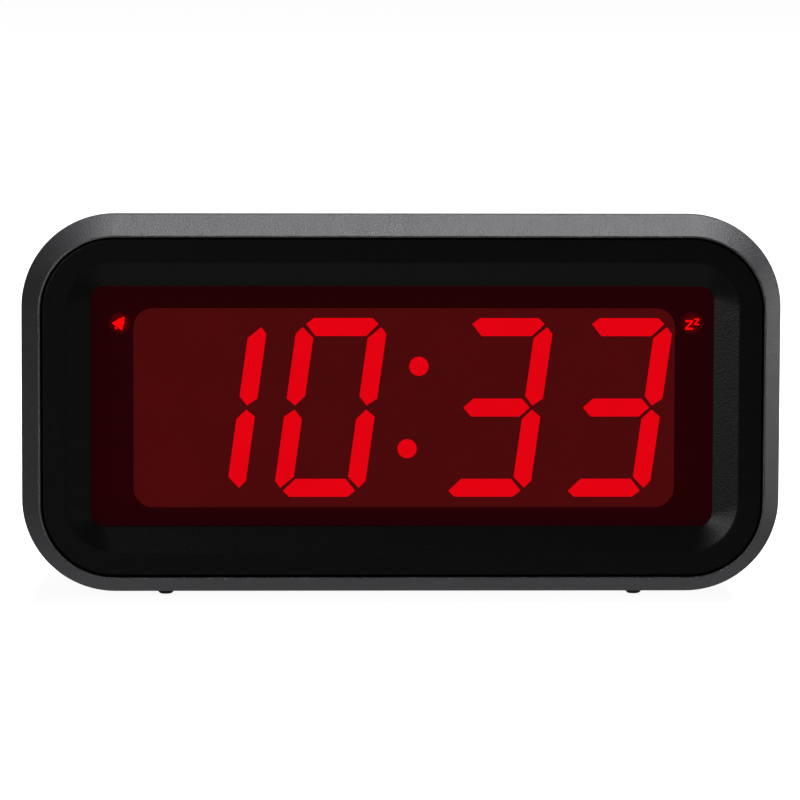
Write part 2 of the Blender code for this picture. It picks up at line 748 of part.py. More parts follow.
# ---------------------------------------------------------------- screws
def build_screw(name, x, z, head_front, length, driver_down=1.0 * MM):
    """A pan-head screw with a cross recess. It points to the front, and its head faces the rear."""
    head = SCREW_HEAD_DIAMETER / 2
    shank = SCREW_SHANK_DIAMETER / 2
    mesh = bmesh.new()
    profile = [
        (head_front - length, shank * 0.35),
        (head_front - length + 1.2 * MM, shank),
        (head_front, shank),
        (head_front, head),
        (head_front + SCREW_HEAD_HEIGHT * 0.6, head),
        (head_front + SCREW_HEAD_HEIGHT, head * 0.6),
    ]
    add_turned(mesh, "Y", (x, 0.0, z), profile, steps=SMALL_STEPS)
    made = finish(name, mesh, STEEL)
    top = head_front + SCREW_HEAD_HEIGHT
    arm = head * 0.5
    half = 0.35 * MM

    def cross(mesh):
        outline = [
            (-arm, -half), (-half, -half), (-half, -arm), (half, -arm), (half, -half), (arm, -half),
            (arm, half), (half, half), (half, arm), (-half, arm), (-half, half), (-arm, half),
        ]
        add_plate(mesh, [(x + a, z + b) for a, b in outline], top - driver_down, top + MM)

    cut(made, cross)
    smooth_again(made, 35)
    return made


# ---------------------------------------------------------------- rear case
def rear_station(depth, inset=0.0):
    """The tapered outside of the rear case at a depth. The bottom stays level and the top comes down."""
    share = (depth - CASE_START) / (CASE_DEPTH - CASE_START)
    width = CASE_WIDTH - 2 * GAP - 2 * SIDE_TAPER * share - 2 * inset
    bottom = REAR_BOTTOM + inset
    top = REAR_TOP - TOP_TAPER * share - inset
    return (depth, width, top - bottom, CASE_RADIUS - GAP - 1.9 * MM * share - inset, (bottom + top) / 2)


def top_at(depth):
    share = (depth - CASE_START) / (CASE_DEPTH - CASE_START)
    return REAR_TOP - TOP_TAPER * share


def bay_block(mesh):
    add_box(
        mesh,
        -BAY_HALF - BAY_WALL,
        BAY_HALF + BAY_WALL,
        BAY_FLOOR - BAY_WALL,
        REAR_WALL_FRONT + 0.5 * MM,
        BAY_BOTTOM - BAY_WALL,
        BAY_TOP + BAY_WALL,
    )


def build_rear_case():
    lip_inset = WALL + GAP
    mesh = bmesh.new()
    lip = (LIP_WIDTH, CASE_HEIGHT - 2 * lip_inset, CASE_RADIUS - lip_inset, CASE_CENTRE)
    lip_inner = (
        LIP_WIDTH - 2 * WALL,
        CASE_HEIGHT - 2 * lip_inset - 2 * WALL,
        CASE_RADIUS - lip_inset - WALL,
        CASE_CENTRE,
    )
    flare = CASE_START + 4.0 * MM

    def filleted(depth, inset):
        depth_on_wall, width, height, radius, centre = rear_station(CASE_DEPTH)
        return (depth, width - 2 * inset, height - 2 * inset, radius - inset, centre)

    add_stations(
        mesh,
        [
            (REAR_WALL_FRONT, *rear_station(REAR_WALL_FRONT, WALL)[1:]),
            rear_station(flare, WALL),
            (CASE_START + 0.6 * MM, *lip_inner),
            (LIP_FRONT, *lip_inner),
            (LIP_FRONT, *lip),
            (CASE_START, *lip),
            rear_station(CASE_START),
            rear_station(CASE_DEPTH - REAR_FILLET),
            filleted(CASE_DEPTH - 0.30 * REAR_FILLET, 0.30 * REAR_FILLET),
            filleted(CASE_DEPTH, REAR_FILLET),
        ],
    )
    made = finish("rear_case", mesh, MATTE_BLACK)

    recess_left = -1.5 * BUTTON_PITCH - BUTTON_WIDTH / 2 - RECESS_SIDE
    recess_right = SWITCH_X + KNOB_TRAVEL + KNOB_WIDTH / 2 + RUN + RECESS_SIDE
    wells = []
    holes = []
    for side in (-1, 1):
        spot = (side * SCREW_X, 0.0, SCREW_Z)
        wells.append(bored("Y", spot, WELL_FRONT, REAR_WALL_FRONT + MM, WELL_OUTER))
        holes.append(bored("Y", spot, WELL_FRONT + WELL_FLOOR, CASE_DEPTH + MM, WELL_RADIUS))
        floor_back = WELL_FRONT + WELL_FLOOR + MM
        holes.append(bored("Y", spot, WELL_FRONT - MM, floor_back, SCREW_HOLE, SMALL_STEPS))
    pegs = []
    for side in (-1, 1):
        spot = (side * (MAIN_WIDTH / 2 - PEG_INSET), 0.0, MAIN_TOP - PEG_INSET)
        pegs.append(bored("Y", spot, MAIN_BACK + GAP, REAR_WALL_FRONT + MM, PEG_DIAMETER, SMALL_STEPS))
        pegs.append(bored("Y", spot, MAIN_FRONT - 0.8 * MM, MAIN_BACK + MM, PEG_DIAMETER / 2, SMALL_STEPS))
    join(made, bay_block, *wells, *pegs)

    opening_half = BAY_HALF + BAY_WALL / 2 + RUN
    opening = rounded_outline(
        2 * opening_half,
        DOOR_TOP - DOOR_BOTTOM + 2 * RUN,
        DOOR_RADIUS * 0.3,
        0.0,
        (DOOR_TOP + DOOR_BOTTOM) / 2,
        steps=3,
    )
    door_front = CASE_DEPTH - DOOR_THICKNESS - GAP

    def door_opening(mesh):
        add_plate(mesh, opening, door_front, CASE_DEPTH + MM)

    cut(
        made,
        *holes,
        box(-BAY_HALF, BAY_HALF, BAY_FLOOR, CASE_DEPTH + MM, BAY_BOTTOM, BAY_TOP),
        door_opening,
        box(
            -opening_half,
            opening_half,
            CASE_DEPTH - 2 * BARREL_RADIUS - RUN,
            CASE_DEPTH + 2 * MM,
            DOOR_BOTTOM - RUN,
            HINGE_Z + BARREL_RADIUS + RUN,
        ),
        bored("X", (0.0, HINGE_DEPTH, HINGE_Z), -opening_half - PIN_LENGTH, opening_half + PIN_LENGTH,
              PIN_RADIUS + RUN, SMALL_STEPS),
        box(
            recess_left,
            recess_right,
            RECESS_FLOOR,
            CASE_DEPTH + MM,
            CONTROL_Z - RECESS_HEIGHT / 2,
            CONTROL_Z + RECESS_HEIGHT / 2,
        ),
    )

    saddle_half = CONTACT_SIZE / 2 + GAP
    divider_z = (LOWER_ROW + UPPER_ROW) / 2
    join(
        made,
        box(-PARTITION / 2, PARTITION / 2, BAY_FLOOR - 0.5 * MM, door_front - 1.6 * MM,
            BAY_BOTTOM - 0.5 * MM, BAY_TOP + 0.5 * MM),
        box(-BAY_HALF - 0.5 * MM, BAY_HALF + 0.5 * MM, BAY_FLOOR - 0.5 * MM, BAY_FLOOR + 2.6 * MM,
            divider_z - 0.5 * MM, divider_z + 0.5 * MM),
    )
    cuts = []
    for row in (LOWER_ROW, UPPER_ROW):
        cuts.append(
            box(-PARTITION, PARTITION, CELL_DEPTH + 2.0 * MM, CASE_DEPTH,
                row - saddle_half, row + saddle_half)
        )
    link_half = (UPPER_ROW - LOWER_ROW) / 2
    cuts.append(
        box(BAY_HALF - PLATE - 2 * GAP, BAY_HALF, BAY_FLOOR, BAY_FLOOR + 4.0 * MM,
            divider_z - link_half, divider_z + link_half)
    )
    for row in (LOWER_ROW, UPPER_ROW):
        cuts.append(
            box(-BAY_HALF, -BAY_HALF + PLATE + 2 * GAP, BAY_FLOOR - BAY_WALL - MM, BAY_FLOOR + MM,
                row - 1.5 * MM - GAP, row + 1.5 * MM + GAP)
        )
    for number in range(len(BUTTON_NAMES)):
        x = (number - 1.5) * BUTTON_PITCH
        cuts.append(
            box(x - BUTTON_WIDTH / 2 - RUN, x + BUTTON_WIDTH / 2 + RUN, REAR_WALL_FRONT - MM, CASE_DEPTH,
                CONTROL_Z - BUTTON_HEIGHT / 2 - RUN, CONTROL_Z + BUTTON_HEIGHT / 2 + RUN)
        )
    cuts.append(
        box(SWITCH_X - KNOB_WIDTH / 2 - RUN, SWITCH_X + KNOB_TRAVEL + KNOB_WIDTH / 2 + RUN,
            REAR_WALL_FRONT - MM, CASE_DEPTH,
            CONTROL_Z - KNOB_HEIGHT / 2 - RUN, CONTROL_Z + KNOB_HEIGHT / 2 + RUN)
    )
    for number in range(SLOT_COUNT):
        x = BUZZER_X + (number - (SLOT_COUNT - 1) / 2) * SLOT_PITCH
        cuts.append(
            box(x - SLOT_WIDTH / 2, x + SLOT_WIDTH / 2, REAR_WALL_FRONT - MM, CASE_DEPTH + MM,
                CONTROL_Z - SLOT_HEIGHT / 2, CONTROL_Z + SLOT_HEIGHT / 2)
        )
    cuts.append(
        box(-SNOOZE_WIDTH / 2 - RUN, SNOOZE_WIDTH / 2 + RUN, SNOOZE_FRONT - RUN,
            SNOOZE_FRONT + SNOOZE_LENGTH + RUN, REAR_TOP - TOP_TAPER - WALL - 3 * MM, REAR_TOP + MM)
    )
    for depth in (FOOT_FRONT, FOOT_REAR):
        for side in (-1, 1):
            x = side * FOOT_SPOT_X
            cuts.append(
                box(x - FOOT_WIDTH / 2 - GAP, x + FOOT_WIDTH / 2 + GAP,
                    depth - GAP, depth + FOOT_LENGTH + GAP,
                    REAR_BOTTOM - MM, REAR_BOTTOM + FOOT_SINK)
            )
    cut(made, *cuts)
    smooth_again(made, 24)
    return made


# ---------------------------------------------------------------- battery door
def build_battery_door():
    half = BAY_HALF + BAY_WALL / 2
    plate_front = CASE_DEPTH - DOOR_THICKNESS
    mesh = bmesh.new()
    middle = (DOOR_TOP + HINGE_Z) / 2
    outline = rounded_outline(2 * half, DOOR_TOP - HINGE_Z, 0.6 * MM, 0.0, middle, steps=3)
    add_plate(mesh, outline, plate_front, CASE_DEPTH)
    made = finish("battery_door", mesh, MATTE_BLACK, origin=(0.0, HINGE_DEPTH, HINGE_Z))
    base = made.location.copy()
    made.location = (0.0, 0.0, 0.0)
    made.data.transform(Matrix.Translation(base))
    join(
        made,
        bored("X", (0.0, HINGE_DEPTH, HINGE_Z), -half, half, BARREL_RADIUS, ROUND_STEPS),
        bored("X", (0.0, HINGE_DEPTH, HINGE_Z),
              -half - PIN_LENGTH, half + PIN_LENGTH, PIN_RADIUS, SMALL_STEPS),
    )
    latch = DOOR_TOP - 9.0 * MM
    grips = []
    for number in range(4):
        z = latch - number * 1.8 * MM
        grips.append(box(-9.0 * MM, 9.0 * MM, CASE_DEPTH - 0.5 * MM, CASE_DEPTH + MM, z, z + 0.9 * MM))
    thumb = turned(
        "Y",
        (0.0, 0.0, DOOR_TOP),
        [(CASE_DEPTH - 1.0 * MM, 4.0 * MM), (CASE_DEPTH + 0.5 * MM, 6.5 * MM)],
        steps=ROUND_STEPS,
    )
    cut(made, thumb, *grips)
    made.data.transform(Matrix.Translation(-base))
    made.location = base
    smooth_again(made, 24)
    return made


# ---------------------------------------------------------------- feet
def build_feet():
    top = REAR_BOTTOM + FOOT_SINK - GAP
    edge = 0.4 * MM
    radius = FOOT_WIDTH / 2
    for depth, place in ((FOOT_FRONT, "front"), (FOOT_REAR, "rear")):
        for side, hand in ((-1, "left"), (1, "right")):
            mesh = bmesh.new()
            rings = []
            for z, inset in ((0.0, edge), (edge, 0.0), (top, 0.0)):
                ring = []
                for step in range(2 * SMALL_STEPS):
                    angle = 2 * math.pi * step / (2 * SMALL_STEPS)
                    straight = (FOOT_LENGTH / 2 - radius) * (1 if math.sin(angle) >= 0 else -1)
                    x = side * FOOT_SPOT_X + (radius - inset) * math.cos(angle)
                    middle = depth + FOOT_LENGTH / 2
                    ring.append((x, y_at(middle + straight + (radius - inset) * math.sin(angle)), z))
                rings.append(ring)
            add_rings(mesh, rings, False)
            finish("foot_" + place + "_" + hand, mesh, RUBBER, smooth=40)


# ---------------------------------------------------------------- batteries and contacts
def build_cell(name, plate_x, towards, row):
    """A cell whose nub faces plate_x. Towards is +1 if the nub points to +X."""
    mesh = bmesh.new()
    radius = CELL_DIAMETER / 2
    nub = NUB_DIAMETER / 2
    tip = plate_x - towards * GAP
    bevel = 0.5 * MM

    def at(distance):
        return tip - towards * distance

    profile = [
        (at(0.0), nub * 0.85),
        (at(0.3 * MM), nub),
        (at(CELL_LENGTH - CELL_CAN), nub),
        (at(CELL_LENGTH - CELL_CAN), radius - bevel),
        (at(CELL_LENGTH - CELL_CAN + bevel), radius),
        (at(CELL_LENGTH - bevel), radius),
        (at(CELL_LENGTH), radius - bevel),
    ]
    add_turned(mesh, "X", (0.0, CELL_DEPTH, row), profile)
    return finish(name, mesh, CELL_WRAP, smooth=35)


def build_spring(name, plate_x, towards, row):
    """A conical spring that stands on its plate at plate_x and points along towards."""
    turns = 2.5
    big = 4.0 * MM
    small = 2.4 * MM
    steps = int(turns * 11)
    wire = SPRING_WIRE / 2
    path = []
    for step in range(steps + 1):
        share = step / steps
        angle = 2 * math.pi * turns * share
        radius = big + (small - big) * share
        x = plate_x + towards * (GAP + wire + (SPRING_LENGTH - 2 * wire) * share)
        path.append((x, CELL_DEPTH + radius * math.cos(angle), row + radius * math.sin(angle)))
    mesh = bmesh.new()
    add_tube(mesh, path, wire, 5)
    return finish(name, mesh, SPRING_STEEL, smooth=80)


def build_batteries():
    half = CONTACT_SIZE / 2
    outer = BAY_HALF - GAP - PLATE
    build_cell("battery_cell_upper_left", -outer, -1, UPPER_ROW)
    build_cell("battery_cell_upper_right", SADDLE_OUT, -1, UPPER_ROW)
    build_cell("battery_cell_lower_right", outer, 1, LOWER_ROW)
    build_cell("battery_cell_lower_left", -SADDLE_OUT, 1, LOWER_ROW)
    build_spring("battery_spring_upper_left", -SADDLE_OUT, -1, UPPER_ROW)
    build_spring("battery_spring_upper_right", outer, -1, UPPER_ROW)
    build_spring("battery_spring_lower_right", SADDLE_OUT, 1, LOWER_ROW)
    build_spring("battery_spring_lower_left", -outer, 1, LOWER_ROW)

    front = CELL_DEPTH - half
    back = CELL_DEPTH + half
    for name, row in (("positive_terminal", UPPER_ROW), ("negative_terminal", LOWER_ROW)):
        mesh = bmesh.new()
        left, right = -outer - PLATE, -outer
        outline = [
            (row - half, back), (row - half, front), (row - 1.5 * MM, front),
            (row - 1.5 * MM, BAY_FLOOR - BAY_WALL - 1.5 * MM),
            (row + 1.5 * MM, BAY_FLOOR - BAY_WALL - 1.5 * MM),
            (row + 1.5 * MM, front), (row + half, front), (row + half, back),
        ]
        add_section(mesh, [(depth, z) for z, depth in outline], left, right)
        finish(name, mesh, SPRING_STEEL)

    mesh = bmesh.new()
    add_box(mesh, outer, outer + PLATE, front, back, LOWER_ROW - half, UPPER_ROW + half)
    finish("right_link_contact", mesh, SPRING_STEEL)

    for name, row in (("upper_middle_contact", UPPER_ROW), ("lower_middle_contact", LOWER_ROW)):
        mesh = bmesh.new()
        x = SADDLE_OUT
        inner = x - PLATE
        over = CELL_DEPTH + 2.0 * MM + GAP
        outline = [
            (-x, front), (-inner, front), (-inner, over), (inner, over),
            (inner, front), (x, front), (x, over + PLATE), (-x, over + PLATE),
        ]
        rings = []
        for z in (row - half, row + half):
            rings.append([(a, y_at(depth), z) for a, depth in outline])
        add_rings(mesh, rings, False)
        finish(name, mesh, SPRING_STEEL)


# ---------------------------------------------------------------- main board and what is on it
def build_main_board():
    mesh = bmesh.new()
    add_box(mesh, -MAIN_WIDTH / 2, MAIN_WIDTH / 2, MAIN_FRONT, MAIN_BACK, MAIN_TOP - MAIN_HEIGHT, MAIN_TOP)
    board = finish("main_board", mesh, BOARD_GREEN)
    holes = []
    for side in (-1, 1):
        spot = (side * (MAIN_WIDTH / 2 - PEG_INSET), 0.0, MAIN_TOP - PEG_INSET)
        holes.append(bored("Y", spot, MAIN_FRONT - MM, MAIN_BACK + MM, PEG_DIAMETER / 2 + GAP, SMALL_STEPS))
    cut(board, *holes)

    face = MAIN_FRONT - GAP
    mesh = bmesh.new()
    add_box(mesh, 12 * MM, 22 * MM, face - 1.8 * MM, face, MAIN_CENTRE - 5 * MM, MAIN_CENTRE + 5 * MM)
    finish("microcontroller", mesh, CHIP_BLACK)

    mesh = bmesh.new()
    can = (0.0, face - 1.6 * MM, MAIN_CENTRE - 4 * MM)
    add_turned(mesh, "X", can, [(26 * MM, 1.3 * MM), (26.3 * MM, 1.6 * MM), (33.7 * MM, 1.6 * MM),
                                (34 * MM, 1.3 * MM)], steps=SMALL_STEPS)
    finish("crystal", mesh, CAN_SILVER, smooth=35)

    for name, x, radius, height in (("capacitor_main", 38 * MM, 3.15 * MM, 7 * MM),
                                    ("capacitor_buzzer", -38 * MM, 2.5 * MM, 6 * MM)):
        mesh = bmesh.new()
        profile = [(face - height, radius - 0.4 * MM), (face - height + 0.4 * MM, radius),
                   (face - 0.9 * MM, radius), (face - 0.6 * MM, radius - 0.25 * MM),
                   (face, radius - 0.25 * MM)]
        add_turned(mesh, "Y", (x, 0.0, MAIN_CENTRE + 2 * MM), profile, steps=16)
        finish(name, mesh, SLEEVE_BLUE, smooth=35)

    mesh = bmesh.new()
    start = MAIN_BACK + GAP
    radius = BUZZER_DIAMETER / 2
    profile = [(start, radius), (start + BUZZER_HEIGHT - 0.4 * MM, radius),
               (start + BUZZER_HEIGHT, radius - 0.4 * MM)]
    add_turned(mesh, "Y", (BUZZER_X, 0.0, CONTROL_Z), profile, steps=24)
    buzzer = finish("buzzer", mesh, CHIP_BLACK, smooth=35)
    cut(buzzer, bored("Y", (BUZZER_X, 0.0, CONTROL_Z), start + BUZZER_HEIGHT - 1.2 * MM,
                      start + BUZZER_HEIGHT + MM, 1.2 * MM, SMALL_STEPS))
    smooth_again(buzzer, 35)


def build_tact(name, x, z):
    """A switch on the main board's rear face, its stem pointing to the rear."""
    half = TACT_SIZE / 2
    mesh = bmesh.new()
    add_box(mesh, x - half, x + half, TACT_FRONT, TACT_BACK, z - half, z + half)
    housing = finish(name + "_switch", mesh, CHIP_BLACK)
    bottom = TACT_BACK - STEM_SUNK
    clear = bottom - BUTTON_TRAVEL - RUN
    cut(housing, bored("Y", (x, 0.0, z), clear, TACT_BACK + MM, STEM_DIAMETER / 2 + RUN, SMALL_STEPS))
    mesh = bmesh.new()
    radius = STEM_DIAMETER / 2
    profile = [(bottom, radius), (STEM_END - 0.2 * MM, radius), (STEM_END, radius - 0.2 * MM)]
    add_turned(mesh, "Y", (x, 0.0, z), profile, steps=SMALL_STEPS)
    finish(name + "_stem", mesh, BUTTON_GREY, origin=None, smooth=35)


def build_rear_buttons():
    for number, name in enumerate(BUTTON_NAMES):
        x = (number - 1.5) * BUTTON_PITCH
        build_tact(name, x, CONTROL_Z)
        width, height = BUTTON_WIDTH, BUTTON_HEIGHT
        end = RECESS_FLOOR + PROUD
        edge = 0.3 * MM
        flange_w, flange_h = width + 2 * FLANGE_LAP, height + 2 * FLANGE_LAP
        stations = [
            (CAP_INNER, flange_w, flange_h, 0.8 * MM),
            (CAP_INNER + FLANGE, flange_w, flange_h, 0.8 * MM),
            (CAP_INNER + FLANGE, width, height, 0.8 * MM),
            (end - edge, width, height, 0.8 * MM),
            (end, width - 2 * edge, height - 2 * edge, 0.5 * MM),
        ]
        mesh = bmesh.new()
        add_stations(mesh, [(*station, CONTROL_Z) for station in stations], centre_x=x, steps=3)
        finish(name + "_button", mesh, BUTTON_GREY, origin=(x, CASE_DEPTH, CONTROL_Z), smooth=35)


def build_slide_switch():
    half_z = SWITCH_HEIGHT / 2
    middle = SWITCH_X + KNOB_TRAVEL / 2
    back = TACT_BACK
    mesh = bmesh.new()
    add_box(mesh, middle - SWITCH_LENGTH / 2, middle + SWITCH_LENGTH / 2, TACT_FRONT, back,
            CONTROL_Z - half_z, CONTROL_Z + half_z)
    body = finish("slide_switch_body", mesh, STEEL)
    knob_front = back - 1.6 * MM
    cut(body, box(SWITCH_X - KNOB_WIDTH / 2 - RUN, SWITCH_X + KNOB_TRAVEL + KNOB_WIDTH / 2 + RUN,
                  knob_front - RUN, back + MM,
                  CONTROL_Z - KNOB_HEIGHT / 2 - RUN, CONTROL_Z + KNOB_HEIGHT / 2 + RUN))
    mesh = bmesh.new()
    end = RECESS_FLOOR + PROUD
    add_stations(
        mesh,
        [
            (knob_front, KNOB_WIDTH, KNOB_HEIGHT, 0.2 * MM, CONTROL_Z),
            (end - 0.2 * MM, KNOB_WIDTH, KNOB_HEIGHT, 0.2 * MM, CONTROL_Z),
            (end, KNOB_WIDTH - 0.4 * MM, KNOB_HEIGHT - 0.4 * MM, 0.1 * MM, CONTROL_Z),
        ],
        centre_x=SWITCH_X,
        steps=2,
    )
    finish("slide_switch_knob", mesh, BUTTON_GREY, origin=(SWITCH_X, CASE_DEPTH, CONTROL_Z), smooth=35)


# ---------------------------------------------------------------- snooze bar
def build_snooze():
    front = SNOOZE_FRONT
    back = SNOOZE_FRONT + SNOOZE_LENGTH
    half = SNOOZE_WIDTH / 2
    edge = 0.5 * MM
    lap = SNOOZE_FLANGE
    under = WALL + RUN
    thick = 1.0 * MM

    def top(depth, down=0.0):
        return (depth, top_at(depth) - down)

    proud = SNOOZE_PROUD
    mesh = bmesh.new()
    add_section(
        mesh,
        [
            top(front, edge - proud), top(front + edge, -proud),
            top(back - edge, -proud), top(back, edge - proud),
            top(back, under + thick), top(front, under + thick),
        ],
        -half,
        half,
    )
    made = finish("snooze_bar", mesh, GLOSS_BLACK)

    def flange(mesh):
        add_section(
            mesh,
            [
                top(front - lap, under), top(back + lap * 0.15, under),
                top(back + lap * 0.15, under + thick + 0.2 * MM),
                top(front - lap, under + thick + 0.2 * MM),
            ],
            -half - lap,
            half + lap,
        )

    post_depth = MAIN_FRONT - GAP - 2.0 * MM
    stem_top = MAIN_TOP - 2.2 * MM
    post = POST_WIDTH / 2
    join(
        made,
        flange,
        box(-post, post, post_depth - post, post_depth + post,
            stem_top + GAP, top_at(back) - under - thick / 2),
    )
    pivot = (0.0, y_at((front + back) / 2), top_at((front + back) / 2))
    made.data.transform(Matrix.Translation([-value for value in pivot]))
    made.location = pivot
    smooth_again(made, 24)

    half = TACT_SIZE / 2
    housing_top = stem_top - 1.7 * MM
    housing_bottom = housing_top - 4.6 * MM
    mesh = bmesh.new()
    add_box(mesh, -half, half, post_depth - 2.0 * MM, MAIN_FRONT - GAP, housing_bottom, housing_top)
    housing = finish("snooze_switch", mesh, CHIP_BLACK)
    bottom = housing_top - STEM_SUNK
    radius = POST_WIDTH / 2 - 0.2 * MM
    cut(housing, bored("Z", (0.0, post_depth, 0.0), bottom - SNOOZE_TRAVEL - RUN, housing_top + MM,
                       radius + RUN, SMALL_STEPS))
    mesh = bmesh.new()
    add_turned(mesh, "Z", (0.0, post_depth, 0.0), [(bottom, radius), (stem_top, radius)], steps=SMALL_STEPS)
    finish("snooze_stem", mesh, BUTTON_GREY, smooth=35)


# ---------------------------------------------------------------- leads inside the case
def smooth_path(points, per_span):
    """Points on a smooth curve through the given ones."""
    path = []
    ends = [points[0], *points, points[-1]]
    for i in range(1, len(ends) - 2):
        p0, p1, p2, p3 = ends[i - 1 : i + 3]
        for step in range(per_span):
            t = step / per_span
            path.append(
                tuple(
                    0.5
                    * (
                        2 * b
                        + (c - a) * t
                        + (2 * a - 5 * b + 4 * c - d) * t * t
                        + (3 * b - a - 3 * c + d) * t * t * t
                    )
                    for a, b, c, d in zip(p0, p1, p2, p3)
                )
            )
    path.append(points[-1])
    return path


def build_leads():
    tab_end = BAY_FLOOR - BAY_WALL - 1.5 * MM
    tab_x = -BAY_HALF + GAP + PLATE / 2
    above = MAIN_TOP - MAIN_HEIGHT + 2.5 * MM
    board_face = MAIN_FRONT - GAP
    for name, row, land, material, column in (
        ("wire_red", UPPER_ROW, LEAD_LANDS[0], RED_WIRE, 1.2 * MM),
        ("wire_black", LOWER_ROW, LEAD_LANDS[1], BLACK_WIRE, 4.2 * MM),
    ):
        out = tab_end - 2.2 * MM
        rise_x = tab_x + column
        points = [
            (tab_x, tab_end - GAP, row),
            (tab_x, tab_end - 1.2 * MM, row),
            (tab_x + column / 2, out, row + 2.0 * MM),
            (rise_x, out, row + 6.0 * MM),
            (rise_x, out, above - 4.0 * MM),
            ((rise_x + land) / 2, out + 2.0 * MM, above),
            (land, MAIN_FRONT - 4.0 * MM, above),
            (land, board_face, above),
        ]
        mesh = bmesh.new()
        add_tube(mesh, smooth_path(points, 4), WIRE_DIAMETER / 2, 6)
        finish(name, mesh, material, smooth=60)

    low = DISPLAY_CENTRE + FIELD_HEIGHT / 2 - 1.5 * MM
    points = [
        (0.0, DISPLAY_BOARD_BACK + GAP, low),
        (0.0, DISPLAY_BOARD_BACK + 2.0 * MM, low + 0.2 * MM),
        (0.0, DISPLAY_BOARD_BACK + 6.0 * MM, (low + MAIN_CENTRE) / 2 - 2.6 * MM),
        (0.0, MAIN_FRONT - 6.0 * MM, MAIN_CENTRE - 3.1 * MM),
        (0.0, board_face, MAIN_CENTRE - 1.9 * MM),
    ]
    centre = smooth_path(points, 5)
    upper = []
    lower = []
    for i, (_, depth, z) in enumerate(centre):
        before = centre[max(i - 1, 0)]
        after = centre[min(i + 1, len(centre) - 1)]
        run, rise = after[1] - before[1], after[2] - before[2]
        length = math.hypot(run, rise)
        off = RIBBON_THICKNESS / 2
        upper.append((depth - off * rise / length, z + off * run / length))
        lower.append((depth + off * rise / length, z - off * run / length))
    mesh = bmesh.new()
    rings = []
    for (d0, z0), (d1, z1) in zip(upper, lower):
        left, right = RIBBON_X - RIBBON_WIDTH / 2, RIBBON_X + RIBBON_WIDTH / 2
        near = [(left, y_at(d0), z0), (right, y_at(d0), z0)]
        far = [(right, y_at(d1), z1), (left, y_at(d1), z1)]
        rings.append(near + far)
    add_rings(mesh, rings, False)
    finish("display_ribbon", mesh, RIBBON_GREY, smooth=30)


build_front_frame()
build_front_bezel()
build_window()
build_display()
build_rear_case()
build_battery_door()
build_feet()
build_batteries()
build_main_board()
build_rear_buttons()
build_slide_switch()
build_snooze()
build_leads()
for side, hand in ((-1, "left"), (1, "right")):
    build_screw("case_screw_" + hand, side * SCREW_X, SCREW_Z, SCREW_HEAD_FRONT, SCREW_LENGTH - 3.4 * MM)
    build_screw("board_screw_" + hand, side * FIXING_X, CASE_CENTRE, DISPLAY_BOARD_BACK + GAP, 6.0 * MM)
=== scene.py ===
# %% [markdown]
# # A digital alarm clock, dressed for the camera
#
# The clock's engineering model comes in as a fixed frame: every piece already has its true
# size and place. This lesson gives each piece its finish, and rebuilds the few pieces whose
# edges need to be rounder than the engineering model makes them. Lengths are in metres, +X is
# to the right of a person facing the display, +Y is to the rear and +Z is up.

import json
import math

import bmesh
import bpy
from mathutils import Matrix, Vector


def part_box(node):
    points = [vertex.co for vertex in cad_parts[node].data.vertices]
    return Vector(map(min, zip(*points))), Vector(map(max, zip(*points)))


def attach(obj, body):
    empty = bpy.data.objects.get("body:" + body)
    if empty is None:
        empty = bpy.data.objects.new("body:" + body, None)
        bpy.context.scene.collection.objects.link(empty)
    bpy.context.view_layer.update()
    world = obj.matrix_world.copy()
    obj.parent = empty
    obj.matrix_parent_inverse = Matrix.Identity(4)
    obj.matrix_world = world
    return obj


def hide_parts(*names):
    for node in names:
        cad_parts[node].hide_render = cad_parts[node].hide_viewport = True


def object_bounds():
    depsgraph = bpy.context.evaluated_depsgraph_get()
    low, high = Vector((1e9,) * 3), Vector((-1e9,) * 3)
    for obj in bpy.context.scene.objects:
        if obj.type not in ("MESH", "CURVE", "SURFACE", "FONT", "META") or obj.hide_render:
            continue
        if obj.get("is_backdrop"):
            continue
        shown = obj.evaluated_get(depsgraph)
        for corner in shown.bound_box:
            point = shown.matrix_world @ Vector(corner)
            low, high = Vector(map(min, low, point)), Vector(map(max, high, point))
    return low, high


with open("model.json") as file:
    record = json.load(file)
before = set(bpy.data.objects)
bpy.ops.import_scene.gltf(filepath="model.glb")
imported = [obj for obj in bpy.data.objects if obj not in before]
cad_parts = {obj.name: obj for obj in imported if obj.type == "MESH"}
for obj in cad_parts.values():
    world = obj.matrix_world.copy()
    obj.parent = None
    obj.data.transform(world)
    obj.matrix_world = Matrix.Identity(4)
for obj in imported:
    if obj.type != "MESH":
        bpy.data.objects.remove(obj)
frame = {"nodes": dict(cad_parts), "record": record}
cad_low, cad_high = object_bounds()
MM = 0.001
size = [round((high - low) / MM, 1) for low, high in zip(cad_low, cad_high)]
print("pieces:", len(frame["nodes"]), "size in mm:", size)

# %% [markdown]
# ## Sizes that the lesson uses again
#
# A moulded case has a handful of sizes that everything else follows. They could be measured
# from the imported meshes each time, but a short list of named values is easier to read, and
# the outside ones are still taken from the pieces themselves so that they can't disagree.

